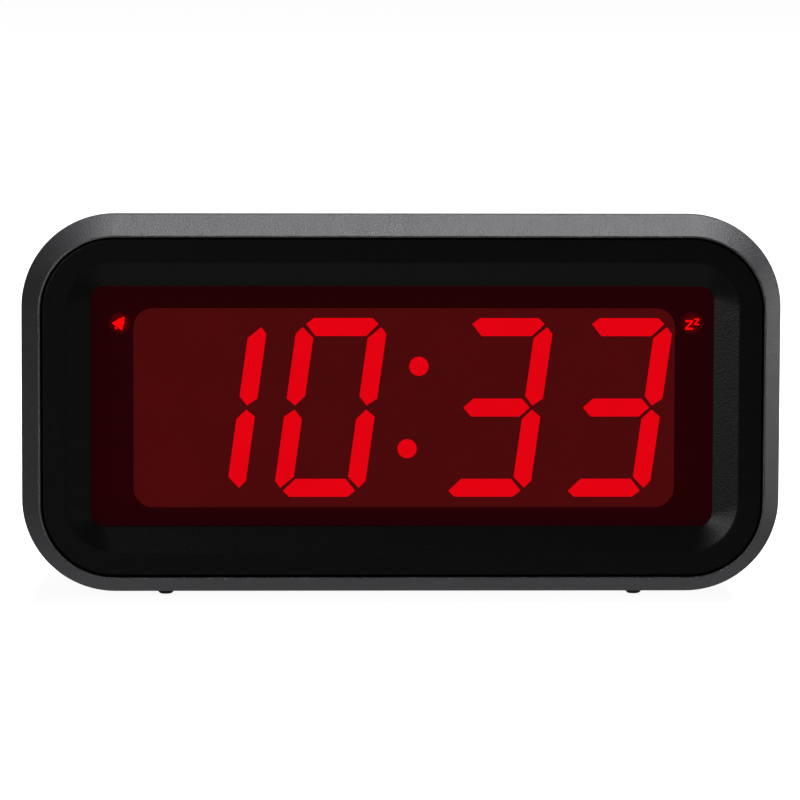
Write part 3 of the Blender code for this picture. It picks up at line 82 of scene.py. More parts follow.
# %% Name the main sizes
frame_low, frame_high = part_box("front_frame")
CASE_WIDTH = frame_high[0] - frame_low[0]
CASE_HEIGHT = frame_high[2] - frame_low[2]
CASE_CENTRE = (frame_high[2] + frame_low[2]) / 2
FRONT_Y = frame_low[1]
CASE_RADIUS = 16 * MM
RIM_WIDTH = 3.4 * MM
RIM_DEPTH = 7.3 * MM
FRAME_DEPTH = 9.3 * MM
LEDGE_DEPTH = 5.0 * MM
WALL = 2.0 * MM
GAP = 0.3 * MM
BAND_WIDTH = 4.25 * MM
SLOPE_WIDTH = 4.25 * MM
BEZEL_SETBACK = 0.5 * MM
WINDOW_DEPTH = 2.5 * MM
WINDOW_RADIUS = 2.4 * MM
SLOPE_RADIUS = 8.2 * MM
LENS_RADIUS = 3.9 * MM
LENS_LAP = 1.8 * MM
FLANGE_THICKNESS = 2.0 * MM
print("case:", round(CASE_WIDTH / MM, 1), "x", round(CASE_HEIGHT / MM, 1), "mm")


def y_at(depth):
    """World Y of a distance behind the front edge."""
    return FRONT_Y + depth


# %% [markdown]
# ## The camera
#
# The clock is seen almost square on, from a little above and a little to the left. A long lens
# from a metre away keeps its sides parallel, as a catalogue picture does. The camera could be
# turned by hand until the view looks right, but working its place out from two angles and a
# distance keeps it aimed at the case when a size changes. Seen from above and from one side at
# once, level edges look slightly tipped, so the camera is rolled by that small angle to set
# them level again.

# %% Place the camera
ELEVATION = math.radians(6.6)
AZIMUTH = math.radians(-1.8)
DISTANCE = 1.0
PICTURE_WIDTH = 137.1 * MM

target = Vector((-0.24 * MM, y_at(RIM_DEPTH), CASE_CENTRE + 0.55 * MM))
backwards = Vector(
    (
        math.sin(AZIMUTH) * math.cos(ELEVATION),
        -math.cos(AZIMUTH) * math.cos(ELEVATION),
        math.sin(ELEVATION),
    )
)
camera_data = bpy.data.cameras.new("camera")
camera_data.sensor_width = 36.0
camera_data.lens = 36.0 * DISTANCE / PICTURE_WIDTH
camera_data.clip_start = 0.01
camera_data.clip_end = 20.0
camera = bpy.data.objects.new("camera", camera_data)
camera.location = target + backwards * DISTANCE
level = math.atan(math.sin(AZIMUTH) * math.sin(ELEVATION))
upright = backwards.to_track_quat("Z", "Y").to_matrix()
camera.rotation_euler = (upright @ Matrix.Rotation(-level, 3, "Z")).to_euler()
bpy.context.scene.collection.objects.link(camera)
bpy.context.scene.camera = camera
print("camera at", [round(v, 3) for v in camera.location], "lens", round(camera_data.lens, 1), "mm")

# %% [markdown]
# ## Writing materials with nodes
#
# Each finish is a small node tree. Nodes could be placed and joined one line at a time, but two
# helpers, one that adds a node and one that starts a finish, keep each recipe short enough to
# read. A value that is the same all over goes straight on the shader's own socket.


# %% Helpers for node trees
def add_node(tree, kind, inputs=None, **settings):
    """Adds a node, sets its plain settings, and fills inputs with values or with links from sockets."""
    node = tree.nodes.new(kind)
    for name, value in settings.items():
        setattr(node, name, value)
    for name, value in (inputs or {}).items():
        socket = node.inputs[name]
        if isinstance(value, bpy.types.NodeSocket):
            tree.links.new(value, socket)
        else:
            socket.default_value = value
    return node


def start_finish(name):
    """A new material with only its output node. Returns the material, its tree and the output."""
    material = bpy.data.materials.new(name)
    material.use_nodes = True
    material.node_tree.nodes.clear()
    output = add_node(material.node_tree, "ShaderNodeOutputMaterial")
    return material, material.node_tree, output


def object_place(tree, scale=(1.0, 1.0, 1.0)):
    """The piece's own coordinates, stretched by scale."""
    coordinates = add_node(tree, "ShaderNodeTexCoord")
    mapping = add_node(
        tree, "ShaderNodeMapping", {"Vector": coordinates.outputs["Object"], "Scale": scale}
    )
    return mapping.outputs["Vector"]


def ramp(tree, factor, stops):
    """A colour ramp over factor, from (place, grey or colour) stops."""
    node = add_node(tree, "ShaderNodeValToRGB", {"Fac": factor})
    elements = node.color_ramp.elements
    while len(elements) < len(stops):
        elements.new(0.5)
    for element, (place, colour) in zip(elements, stops):
        element.position = place
        element.color = (colour, colour, colour, 1.0) if isinstance(colour, float) else (*colour, 1.0)
    return node.outputs["Color"]


print("node helpers ready")

# %% [markdown]
# ## Moulded plastic
#
# Injection-moulded plastic copies the surface of its mould: a spark-eroded mould leaves a fine
# grain, a polished one leaves a faint waviness. One recipe covers every plastic piece here. A
# fine noise drives the bump and shifts the roughness a little, and a broad noise varies the
# colour by a few per cent so that large faces don't look painted by a computer.


# %% The moulded plastic recipe
def moulded_plastic(
    name, colour, roughness, grain=900.0, depth=0.08, metallic=0.0, specular=0.5, speckle=0.04
):
    """A plastic whose bump, roughness and specks all follow one fine noise."""
    material, tree, output = start_finish(name)
    place = object_place(tree)
    fine = add_node(
        tree, "ShaderNodeTexNoise", {"Vector": place, "Scale": grain, "Detail": 3.0, "Roughness": 0.6}
    )
    broad = add_node(tree, "ShaderNodeTexNoise", {"Vector": place, "Scale": 45.0, "Detail": 2.0})
    darker = tuple(value * 0.95 for value in colour)
    lighter = tuple(min(value * 1.05, 1.0) for value in colour)
    shade = ramp(tree, broad.outputs["Fac"], [(0.3, darker), (0.7, lighter)])
    specks = ramp(tree, fine.outputs["Fac"], [(0.3, 1.0 - speckle), (0.7, 1.0)])
    blend = add_node(tree, "ShaderNodeMix", {"Factor": 1.0}, data_type="RGBA", blend_type="MULTIPLY")
    tree.links.new(shade, blend.inputs[6])
    tree.links.new(specks, blend.inputs[7])
    tone = blend.outputs[2]
    worn = ramp(tree, fine.outputs["Fac"], [(0.25, roughness - 0.05), (0.75, min(roughness + 0.06, 1.0))])
    bump = add_node(
        tree,
        "ShaderNodeBump",
        {"Height": fine.outputs["Fac"], "Strength": depth, "Distance": 0.0002},
    )
    shader = add_node(
        tree,
        "ShaderNodeBsdfPrincipled",
        {
            "Base Color": tone,
            "Roughness": worn,
            "Normal": bump.outputs["Normal"],
            "Metallic": metallic,
            "Specular IOR Level": specular,
        },
    )
    tree.links.new(shader.outputs["BSDF"], output.inputs["Surface"])
    return material


satin_grey = moulded_plastic(
    "satin grey plastic",
    (0.130, 0.132, 0.140),
    0.33,
    grain=3400.0,
    depth=0.9,
    metallic=0.15,
    speckle=0.40,
)
bezel_black = moulded_plastic(
    "bezel black plastic",
    (0.0058, 0.0058, 0.0060),
    0.44,
    grain=2800.0,
    depth=0.26,
    specular=0.14,
    speckle=0.2,
)
case_black = moulded_plastic("case black plastic", (0.016, 0.016, 0.017), 0.52, grain=1700.0, depth=0.22)
bar_black = moulded_plastic("snooze bar plastic", (0.012, 0.012, 0.013), 0.34, grain=1900.0, depth=0.08)
button_grey = moulded_plastic("button grey plastic", (0.095, 0.096, 0.100), 0.46, grain=1700.0, depth=0.14)
foot_rubber = moulded_plastic(
    "foot rubber", (0.014, 0.014, 0.014), 0.82, grain=2400.0, depth=0.30, specular=0.25
)
chip_epoxy = moulded_plastic("chip epoxy", (0.018, 0.018, 0.020), 0.55, grain=2800.0, depth=0.18)
print("plastic finishes:", [material.name for material in bpy.data.materials])

# %% [markdown]
# ## Rings that follow the case's outline
#
# The rim and the bezel are the same idea: one cross-section carried round a rounded rectangle.
# A curve with a bevel object could do it, but the bezel's corners tighten as they near the
# window, which a bevel can't. So a helper rounds the corners of the cross-section first, and
# another joins one rounded rectangle for each of its points.


# %% Round a cross-section and carry it round the case
def piece_from(shell, name, *materials):
    """Turns a BMesh into an object with these materials, its normals outward, and frees it."""
    bmesh.ops.recalc_face_normals(shell, faces=shell.faces)
    data = bpy.data.meshes.new(name)
    shell.to_mesh(data)
    shell.free()
    for material in materials:
        data.materials.append(material)
    piece = bpy.data.objects.new(name, data)
    bpy.context.scene.collection.objects.link(piece)
    return piece


def soften(corners, steps=5):
    """Rounds a closed cross-section. Corners are (depth, inset, ring radius, edge radius) in metres."""
    points = []
    count = len(corners)
    for i, (depth, inset, ring, edge) in enumerate(corners):
        here = Vector((depth, inset))
        before = Vector(corners[i - 1][:2]) - here
        after = Vector(corners[(i + 1) % count][:2]) - here
        if edge == 0.0:
            points.append((depth, inset, ring))
            continue
        angle = before.angle(after)
        reach = min(edge / math.tan(angle / 2), before.length * 0.49, after.length * 0.49)
        edge = reach * math.tan(angle / 2)
        inward = (before.normalized() + after.normalized()).normalized()
        middle = here + inward * (edge / math.sin(angle / 2))
        start = here + before.normalized() * reach - middle
        end = here + after.normalized() * reach - middle
        for step in range(steps + 1):
            spot = middle + start.slerp(end, step / steps).normalized() * edge
            points.append((spot.x, spot.y, ring))
    return points


def rounded_ring(width, height, radius, centre_x, y, centre_z, steps):
    """Points of a rounded rectangle at one depth."""
    points = []
    for turn, (side_x, side_z) in enumerate([(1, 1), (-1, 1), (-1, -1), (1, -1)]):
        corner_x = centre_x + side_x * (width / 2 - radius)
        corner_z = centre_z + side_z * (height / 2 - radius)
        for step in range(steps + 1):
            angle = math.radians(90 * turn + 90 * step / steps)
            points.append((corner_x + radius * math.cos(angle), y, corner_z + radius * math.sin(angle)))
    return points


def mesh_of(name, rings, looped, material):
    """Joins equal rings of points with quads, and caps the ends unless the last ring meets the first."""
    shell = bmesh.new()
    rows = [[shell.verts.new(point) for point in ring] for ring in rings]
    pairs = list(zip(rows, rows[1:]))
    if looped:
        pairs.append((rows[-1], rows[0]))
    for row, following in pairs:
        for i in range(len(row)):
            j = (i + 1) % len(row)
            shell.faces.new((row[i], row[j], following[j], following[i]))
    if not looped:
        shell.faces.new(rows[0])
        shell.faces.new(rows[-1])
    return piece_from(shell, name, material)


def settle(piece, sharp=35.0):
    """Shades a piece smooth up to an angle, weights its normals and makes its modifiers final."""
    piece.data.shade_smooth()
    piece.data.set_sharp_from_angle(angle=math.radians(sharp))
    weighting = piece.modifiers.new("even shading", "WEIGHTED_NORMAL")
    weighting.keep_sharp = True
    graph = bpy.context.evaluated_depsgraph_get()
    final = bpy.data.meshes.new_from_object(piece.evaluated_get(graph))
    piece.modifiers.clear()
    spare = piece.data
    piece.data = final
    bpy.data.meshes.remove(spare)
    final.name = piece.name
    return piece


def carry_round(name, corners, material, steps=24):
    """A ring piece whose closed cross-section is carried round the case's outline."""
    rings = []
    for depth, inset, ring in soften(corners):
        width, height = CASE_WIDTH - 2 * inset, CASE_HEIGHT - 2 * inset
        rings.append(rounded_ring(width, height, ring, 0.0, y_at(depth), CASE_CENTRE, steps))
    return settle(mesh_of(name, rings, True, material), sharp=40.0)


print("ring helpers ready")

# %% [markdown]
# ## The satin rim
#
# The rim is one moulded ring, sprayed satin grey. Its face slopes steeply back from a sharp
# front edge to the widest part of the case. The front edge is the one that catches the light,
# so it gets a narrow flat with small radii beside it, and the widest line a softer one.

# %% Make the rim
rim = carry_round(
    "satin_rim",
    [
        (0.0, RIM_WIDTH, CASE_RADIUS - RIM_WIDTH, 0.12 * MM),
        (0.0, RIM_WIDTH - 0.32 * MM, CASE_RADIUS - RIM_WIDTH + 0.32 * MM, 0.26 * MM),
        (RIM_DEPTH, 0.0, CASE_RADIUS, 1.6 * MM),
        (FRAME_DEPTH, 0.0, CASE_RADIUS, 0.25 * MM),
        (FRAME_DEPTH, WALL, CASE_RADIUS - WALL, 0.0),
        (LEDGE_DEPTH, WALL, CASE_RADIUS - WALL, 0.0),
        (LEDGE_DEPTH, RIM_WIDTH, CASE_RADIUS - RIM_WIDTH, 0.0),
    ],
    satin_grey,
)
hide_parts("front_frame")
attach(rim, "clock")
print("rim:", len(rim.data.polygons), "faces")

# %% [markdown]
# ## The black bezel
#
# The bezel drops into the rim from behind. It has a flat band just inside the rim, then a
# slope down to the window, and the outline's corners tighten from one to the next. Behind,
# a flange is clamped between the rim and the rear case. Its screw posts are made further on.

# %% Make the bezel
band_end = RIM_WIDTH + BAND_WIDTH
window_edge = band_end + SLOPE_WIDTH
seat_edge = window_edge - LENS_LAP
seat_radius = LENS_RADIUS + GAP
flange_front = LEDGE_DEPTH + GAP
flange_back = flange_front + FLANGE_THICKNESS
outer = CASE_RADIUS - RIM_WIDTH
bezel = carry_round(
    "black_bezel",
    [
        (BEZEL_SETBACK, RIM_WIDTH + GAP, outer - GAP, 0.25 * MM),
        (flange_front, RIM_WIDTH + GAP, outer - GAP, 0.0),
        (flange_front, WALL + GAP, CASE_RADIUS - WALL - GAP, 0.0),
        (flange_back, WALL + GAP, CASE_RADIUS - WALL - GAP, 0.0),
        (flange_back, seat_edge, seat_radius, 0.0),
        (WINDOW_DEPTH + GAP, seat_edge, seat_radius, 0.0),
        (WINDOW_DEPTH + GAP, window_edge, WINDOW_RADIUS, 0.0),
        (WINDOW_DEPTH, window_edge, WINDOW_RADIUS, 0.12 * MM),
        (BEZEL_SETBACK, band_end, SLOPE_RADIUS, 0.9 * MM),
    ],
    bezel_black,
)
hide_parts("front_bezel")
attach(bezel, "clock")
print("bezel:", len(bezel.data.polygons), "faces")

# %% [markdown]
# ## The red window
#
# The window is a sheet of red acrylic: it passes red and stops nearly everything else, which
# is why an unlit display behind it looks almost black. Real glass shading bends and scatters
# light and takes long to settle, and a flat sheet this thin bends almost nothing. So the
# window is mostly a red transparent shader with a little polished plastic mixed in for gloss.

# %% The red acrylic finish
red_acrylic, tree, output = start_finish("red acrylic")
clear = add_node(tree, "ShaderNodeBsdfTransparent", {"Color": (0.95, 0.32, 0.35, 1.0)})
ripple = add_node(tree, "ShaderNodeTexNoise", {"Vector": object_place(tree), "Scale": 60.0, "Detail": 1.0})
polish = ramp(tree, ripple.outputs["Fac"], [(0.3, 0.10), (0.7, 0.16)])
swell = add_node(
    tree, "ShaderNodeBump", {"Height": ripple.outputs["Fac"], "Strength": 0.02, "Distance": 0.0002}
)
gloss = add_node(
    tree,
    "ShaderNodeBsdfPrincipled",
    {"Base Color": (0.02, 0.001, 0.001, 1.0), "Roughness": polish, "Normal": swell.outputs["Normal"]},
)
mixed = add_node(tree, "ShaderNodeMixShader", {0: 0.12, 1: clear.outputs["BSDF"], 2: gloss.outputs["BSDF"]})
tree.links.new(mixed.outputs["Shader"], output.inputs["Surface"])

# %% Make the window
lens_low, lens_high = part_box("window_lens")
lens_width, lens_height = lens_high[0] - lens_low[0], lens_high[2] - lens_low[2]
rings = []
for y, inset in (
    (lens_low[1], 0.30 * MM),
    (lens_low[1] + 0.09 * MM, 0.09 * MM),
    (lens_low[1] + 0.30 * MM, 0.0),
    (lens_high[1] - 0.10 * MM, 0.0),
    (lens_high[1], 0.10 * MM),
):
    width, height = lens_width - 2 * inset, lens_height - 2 * inset
    rings.append(rounded_ring(width, height, LENS_RADIUS - inset, 0.0, y, CASE_CENTRE, 12))
window = settle(mesh_of("red_window", rings, False, red_acrylic), sharp=50.0)
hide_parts("window_lens")
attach(window, "clock")
print("window:", round(lens_width / MM, 1), "x", round(lens_height / MM, 1), "mm")

# %% [markdown]
# ## Flat pieces with shaped holes
#
# The film and the display face are thin sheets with rounded openings and icons in them. They
# could be cut with Booleans, but Blender's filled 2-D curves already understand an outline
# with holes. The helper draws the outlines as a 2-D curve, gives it a thickness, and turns
# the result to face the front as a plain mesh.


# %% Cut a plate from outlines
WELD = 0.002 * MM


def plate(name, outlines, front, back, material):
    """A flat piece between two Y values. Outlines are lists of (x, z); one inside another is a hole."""
    curve = bpy.data.curves.new(name + "_outline", "CURVE")
    curve.dimensions = "2D"
    curve.fill_mode = "BOTH"
    curve.extrude = (back - front) / 2
    for outline in outlines:
        spline = curve.splines.new("POLY")
        spline.points.add(len(outline) - 1)
        for point, (x, z) in zip(spline.points, outline):
            point.co = (x, z, 0.0, 1.0)
        spline.use_cyclic_u = True
    drawn = bpy.data.objects.new(name, curve)
    bpy.context.scene.collection.objects.link(drawn)
    graph = bpy.context.evaluated_depsgraph_get()
    filled = bpy.data.meshes.new_from_object(drawn.evaluated_get(graph))
    bpy.data.objects.remove(drawn)
    middle = (front + back) / 2
    shell = bmesh.new()
    shell.from_mesh(filled)
    bpy.data.meshes.remove(filled)
    bmesh.ops.remove_doubles(shell, verts=shell.verts, dist=WELD)
    for vert in shell.verts:
        x, z, out = vert.co
        vert.co = (x, middle - out, z)
    return settle(piece_from(shell, name, material))


def rounded_outline(width, height, radius, centre_x, centre_z, steps=8):
    """The outline of a rounded rectangle, as (x, z) points."""
    return [(x, z) for x, _, z in rounded_ring(width, height, radius, centre_x, 0.0, centre_z, steps)]


def disc(x, z, radius, count=30):
    """The outline of a circle, as (x, z) points."""
    turns = [2 * math.pi * i / count for i in range(count)]
    return [(x + radius * math.cos(turn), z + radius * math.sin(turn)) for turn in turns]


print("plate helper ready")

# %% [markdown]
# ## The bezel's screw posts
#
# Two long posts hold the display board and two short ones take the case screws. They could
# be cylinders with a Boolean hole, but a tube is a thick plate with a round outline and a round
# hole, so two circles for each are enough. Their places come from the screws themselves.

# %% Make the screw posts
POST_RADIUS, POST_BORE, SHORT_POST_DEPTH = 2.3 * MM, 1.5 * MM, 7.3 * MM
post_front = y_at(flange_back - 0.5 * MM)
long_post_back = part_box("front_bezel")[1][1]
for screw, post_back in (("board_screw", long_post_back), ("case_screw", y_at(SHORT_POST_DEPTH))):
    tubes = []
    for side in ("_left", "_right"):
        low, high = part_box(screw + side)
        x, z = (low[0] + high[0]) / 2, (low[2] + high[2]) / 2
        tubes += [disc(x, z, POST_RADIUS, 24), disc(x, z, POST_BORE, 24)]
    posts = plate(screw + "_posts", tubes, post_front, post_back, bezel_black)
    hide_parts("front_bezel")
    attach(posts, "clock")
    print(posts.name, round((post_back - post_front) / MM, 1), "mm long")

# %% [markdown]
# ## Light in the segments
#
# A lit bar is a white diffuser with red light coming through it, a little brighter in the
# middle than at the ends. It is an emitter, and the red window in front of it does the rest.


# %% Finishes of the display
def lit_finish(name, colour, strength):
    """A dark surface that glows with a faintly uneven colour; on a piece that is no lamp, painted light."""
    material, tree, output = start_finish(name)
    place = object_place(tree)
    cloud = add_node(tree, "ShaderNodeTexNoise", {"Vector": place, "Scale": 120.0, "Detail": 1.0})
    tone = ramp(tree, cloud.outputs["Fac"], [(0.3, tuple(v * 0.97 for v in colour)), (0.7, colour)])
    shader = add_node(
        tree,
        "ShaderNodeBsdfPrincipled",
        {
            "Base Color": (0.02, 0.002, 0.002, 1.0),
            "Roughness": 0.7,
            "Specular IOR Level": 0.1,
            "Emission Color": tone,
            "Emission Strength": strength,
        },
    )
    tree.links.new(shader.outputs["BSDF"], output.inputs["Surface"])
    return material


segment_light = lit_finish("lit segment", (1.110, 0.0076, 0.059), 1.0)
icon_light = lit_finish("lit icon", (1.0, 0.013, 0.020), 1.5)
# The display face is no lamp: its glow is painted light, standing in for light falling on the unlit face
# behind the red window.
face_painted_glow = lit_finish("display face", (0.093, 0.037, 0.034), 1.0)
print("display finishes ready")

# %% [markdown]
# ## The printed film and its icons
#
# A film behind the window is printed black except for a clear field over the digits and two
# small icons, a bell for the alarm and two letters z for the snooze. A lamp shines through
# each. The icons are drawn as outlines in millimetres, then turned and moved into place.
#
# The print is given a very faint glow, a painted light that stands in for light falling on the
# dark print behind the red window, so its finish is one of the lit ones. Round each icon a soft
# halo is added to the glow: its strength falls with the distance to the nearer icon, and is gone
# about two millimetres out.

# %% Draw the icons
FIELD_WIDTH, FIELD_HEIGHT, FIELD_RADIUS = 92.6 * MM, 34.3 * MM, 3.3 * MM
DISPLAY_X = 0.45 * MM
DISPLAY_Z = CASE_CENTRE - 0.6 * MM


def place_icon(points, x, z, size=1.0, turn=0.0):
    """Points in millimetres, scaled, turned anticlockwise by degrees, and moved to (x, z)."""
    cos, sin = math.cos(math.radians(turn)), math.sin(math.radians(turn))
    return [
        (x + size * MM * (a * cos - b * sin), z + size * MM * (a * sin + b * cos)) for a, b in points
    ]


def bell_outline():
    """A bell standing on its rim, with a narrow crown."""
    right = [(0.14, 1.15), (0.24, 0.85), (0.48, 0.55), (0.66, 0.15), (0.76, -0.28), (0.98, -0.60)]
    left = [(-a, b) for a, b in reversed(right)]
    return [*left, *right, (0.98, -0.80), (-0.98, -0.80)]


def clapper_outline():
    """The lower half of a small circle, under the bell's rim."""
    turns = [math.radians(180 + 18 * i) for i in range(11)]
    return [(0.30 * math.cos(a), -0.90 + 0.30 * math.sin(a)) for a in turns]


def zed_outline(width, height, bar):
    """A plain letter z."""
    half_w, half_h = width / 2, height / 2
    return [
        (-half_w, half_h), (half_w, half_h), (half_w, half_h - bar), (-half_w + bar * 1.25, -half_h + bar),
        (half_w, -half_h + bar), (half_w, -half_h), (-half_w, -half_h), (-half_w, -half_h + bar),
        (half_w - bar * 1.25, half_h - bar), (-half_w, half_h - bar),
    ]


bell_x, icon_z = DISPLAY_X - 48.6 * MM, DISPLAY_Z + 14.6 * MM
zed_x = DISPLAY_X + 49.1 * MM
icons = [
    place_icon(bell_outline(), bell_x, icon_z, 1.08, -36.0),
    place_icon(clapper_outline(), bell_x, icon_z, 1.08, -36.0),
    place_icon(zed_outline(1.36, 1.72, 0.40), zed_x - 0.40 * MM, icon_z - 0.32 * MM),
    place_icon(zed_outline(0.90, 1.18, 0.30), zed_x + 0.88 * MM, icon_z + 0.22 * MM),
]
print("icons:", len(icons), "outlines")

# %% The film's finish
HALO_INNER, HALO_OUTER = 0.9 * MM, 2.3 * MM
# The film's own colour is a dark print; its even glow is painted light, standing in for light falling on the
# print.
dark_film_painted_glow = lit_finish("printed film", (0.0185, 0.0045, 0.0160), 1.0)
tree = dark_film_painted_glow.node_tree
shader = tree.nodes["Principled BSDF"]
tone = shader.inputs["Emission Color"].links[0].from_socket
place = add_node(tree, "ShaderNodeTexCoord").outputs["Object"]
flat = add_node(tree, "ShaderNodeVectorMath", {0: place, 1: (1.0, 0.0, 1.0)}, operation="MULTIPLY")
away = []
for x in (bell_x, zed_x + 0.1 * MM):
    ends = {0: flat.outputs["Vector"], 1: (x, 0.0, icon_z)}
    away.append(add_node(tree, "ShaderNodeVectorMath", ends, operation="DISTANCE").outputs["Value"])
nearest = add_node(tree, "ShaderNodeMath", {0: away[0], 1: away[1]}, operation="MINIMUM")
halo = add_node(
    tree,
    "ShaderNodeMapRange",
    {
        "Value": nearest.outputs["Value"],
        "From Min": HALO_INNER,
        "From Max": HALO_OUTER,
        "To Min": 1.0,
        "To Max": 0.0,
    },
    interpolation_type="SMOOTHERSTEP",
)
glow = add_node(
    tree,
    "ShaderNodeVectorMath",
    {0: (0.075, 0.0004, 0.002), 1: halo.outputs["Result"], 2: tone},
    operation="MULTIPLY_ADD",
)
tree.links.new(glow.outputs["Vector"], shader.inputs["Emission Color"])
print("film finish nodes:", len(tree.nodes))

# %% Make the film
film_low, film_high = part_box("mask_film")
film = plate(
    "printed_film",
    [
        rounded_outline(lens_width, lens_height, LENS_RADIUS, 0.0, CASE_CENTRE),
        rounded_outline(FIELD_WIDTH, FIELD_HEIGHT, FIELD_RADIUS, DISPLAY_X, DISPLAY_Z),
        *icons,
    ],
    film_low[1],
    film_high[1],
    dark_film_painted_glow,
)
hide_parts("mask_film")
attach(film, "clock")
print("film:", len(film.data.polygons), "faces")

# %% [markdown]
# ## The display face and its segments
#
# Each digit is seven bars in a slanted figure eight. Behind a red window an unlit bar can't be
# told from the face round it, so the unlit ones aren't cut out and the face covers them. The
# bars have mitred ends, and the sharp tips are blunted a little, as light spreading in the
# diffuser does. The lit bars are one mesh, since nothing moves between them, and the face has
# two more holes for the icon lamps.

# %% The seven bars of a digit
DIGIT_HEIGHT, DIGIT_WIDTH, STROKE, SPACE, SLANT = 30.8 * MM, 15.5 * MM, 3.1 * MM, 0.7 * MM, 0.138
DIGIT_SPOTS = [-33.1 * MM, -12.6 * MM, 15.8 * MM, 36.3 * MM]
COLON_X, COLON_RISE, COLON_RADIUS = 1.5 * MM, 7.1 * MM, 1.65 * MM
TIME_SHOWN = "1033"
LIT_BARS = {"0": "abcdef", "1": "bc", "3": "abgcd"}


def flipped(points, across, up):
    """A mirrored outline: -1 mirrors in that direction."""
    return [(across * x, up * z) for x, z in points]


def bar_outlines():
    """The seven outlines of an upright digit, named a to g, centred on zero."""
    half_w, half_h, half_s = DIGIT_WIDTH / 2, DIGIT_HEIGHT / 2, STROKE / 2
    chamfer, mitre, space = 1.2 * MM, 1.9 * MM, SPACE / 2
    tall, wide = half_h - chamfer - space, half_w - chamfer - space
    reach = half_w - 1.35 * MM - SPACE
    top = [
        (-wide, half_h - chamfer + space / 2), (-wide + chamfer, half_h), (wide - chamfer, half_h),
        (wide, half_h - chamfer + space / 2), (wide - mitre, half_h - STROKE),
        (-wide + mitre, half_h - STROKE),
    ]
    middle = [
        (-reach, 0.0), (-reach + half_s, half_s), (reach - half_s, half_s),
        (reach, 0.0), (reach - half_s, -half_s), (-reach + half_s, -half_s),
    ]
    side = [
        (half_w - chamfer + space / 2, tall), (half_w, tall - chamfer), (half_w, half_s),
        (reach + SPACE * 0.6, space), (half_w - STROKE, half_s + SPACE * 0.6),
        (half_w - STROKE, tall - mitre),
    ]
    return {
        "a": top, "b": side, "c": flipped(side, 1, -1), "d": flipped(top, 1, -1),
        "e": flipped(side, -1, -1), "f": flipped(side, -1, 1), "g": middle,
    }


def blunted(points, radius):
    """Rounds each corner of an outline with three short edges."""
    made = []
    for i, point in enumerate(points):
        here = Vector(point)
        before, after = Vector(points[i - 1]) - here, Vector(points[(i + 1) % len(points)]) - here
        reach = min(radius, before.length * 0.4, after.length * 0.4)
        start, end = here + before.normalized() * reach, here + after.normalized() * reach
        for t in (0.0, 0.33, 0.67, 1.0):
            made.append(tuple((1 - t) ** 2 * start + 2 * t * (1 - t) * here + t * t * end))
    return made


def on_display(points, centre_x):
    """Slants an upright outline and moves it to its digit's place."""
    return [(x + SLANT * z + centre_x, z + DISPLAY_Z) for x, z in points]


print("bars:", ", ".join(bar_outlines()))

# %% Make the display face and the bars
panel_low, panel_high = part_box("segment_panel")
face_y = panel_low[1]
bar_depth = 6.6 * MM
bars = []
for digit, spot in zip(TIME_SHOWN, DIGIT_SPOTS):
    for name, outline in bar_outlines().items():
        if name in LIT_BARS[digit]:
            bars.append(blunted(on_display(outline, DISPLAY_X + spot), 0.14 * MM))
dots = []
for up in (-1, 1):
    rise = up * COLON_RISE
    x = DISPLAY_X + COLON_X + SLANT * rise
    dots.append(disc(x, DISPLAY_Z + rise, COLON_RADIUS))
lit_bars = plate("lit_bars", bars + dots, face_y, face_y + bar_depth, segment_light)
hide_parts("segment_lights")
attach(lit_bars, "clock")

LAMP_SIZE = 3.3 * MM
LAMP_HOLE = LAMP_SIZE + 2 * GAP
panel_width, panel_height = panel_high[0] - panel_low[0], panel_high[2] - panel_low[2]
face = plate(
    "display_face",
    [
        rounded_outline(panel_width, panel_height, FIELD_RADIUS, 0.0, DISPLAY_Z),
        *[rounded_outline(LAMP_HOLE, LAMP_HOLE, 1.2 * MM, x, icon_z) for x in (bell_x, zed_x)],
        *bars,
        *dots,
    ],
    face_y,
    panel_high[1],
    face_painted_glow,
)
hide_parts("segment_panel")
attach(face, "clock")
print("lit bars:", len(bars), "and dots:", len(dots))

# %% [markdown]
# ## The icon lamps
#
# One small lamp with a flat end sits behind each icon. Its front is all that the icon's cut-out
# shows, so a small block is enough.

# %% Make the icon lamps
for node, x in (("alarm_led", bell_x), ("snooze_led", zed_x)):
    low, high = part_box(node)
    lamp = plate(
        node + "_lamp",
        [rounded_outline(LAMP_SIZE, LAMP_SIZE, 1.0 * MM, x, icon_z)],
        film_high[1] + 0.1 * MM,
        high[1],
        icon_light,
    )
    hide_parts(node)
    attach(lamp, "clock")
print("icon lamps at", round(bell_x / MM, 1), "and", round(zed_x / MM, 1), "mm")

# %% [markdown]
# ## Metals, boards and wrappers
#
# The pieces inside are seen when the battery door is open. Plated steel is a metal with a
# slightly uneven roughness, and a circuit board is green lacquer over copper tracks that
# show as a lighter pattern.


# %% Finishes of the inner pieces
def plated_metal(name, colour, roughness):
    """A metal with an uneven polish."""
    material, tree, output = start_finish(name)
    place = object_place(tree)
    cloud = add_node(tree, "ShaderNodeTexNoise", {"Vector": place, "Scale": 350.0, "Detail": 4.0})
    worn = ramp(tree, cloud.outputs["Fac"], [(0.3, roughness - 0.08), (0.7, roughness + 0.12)])
    tone = ramp(tree, cloud.outputs["Fac"], [(0.3, tuple(v * 0.9 for v in colour)), (0.7, colour)])
    bump = add_node(
        tree, "ShaderNodeBump", {"Height": cloud.outputs["Fac"], "Strength": 0.05, "Distance": 0.0002}
    )
    shader = add_node(
        tree,
        "ShaderNodeBsdfPrincipled",
        {"Base Color": tone, "Roughness": worn, "Normal": bump.outputs["Normal"], "Metallic": 1.0},
    )
    tree.links.new(shader.outputs["BSDF"], output.inputs["Surface"])
    return material


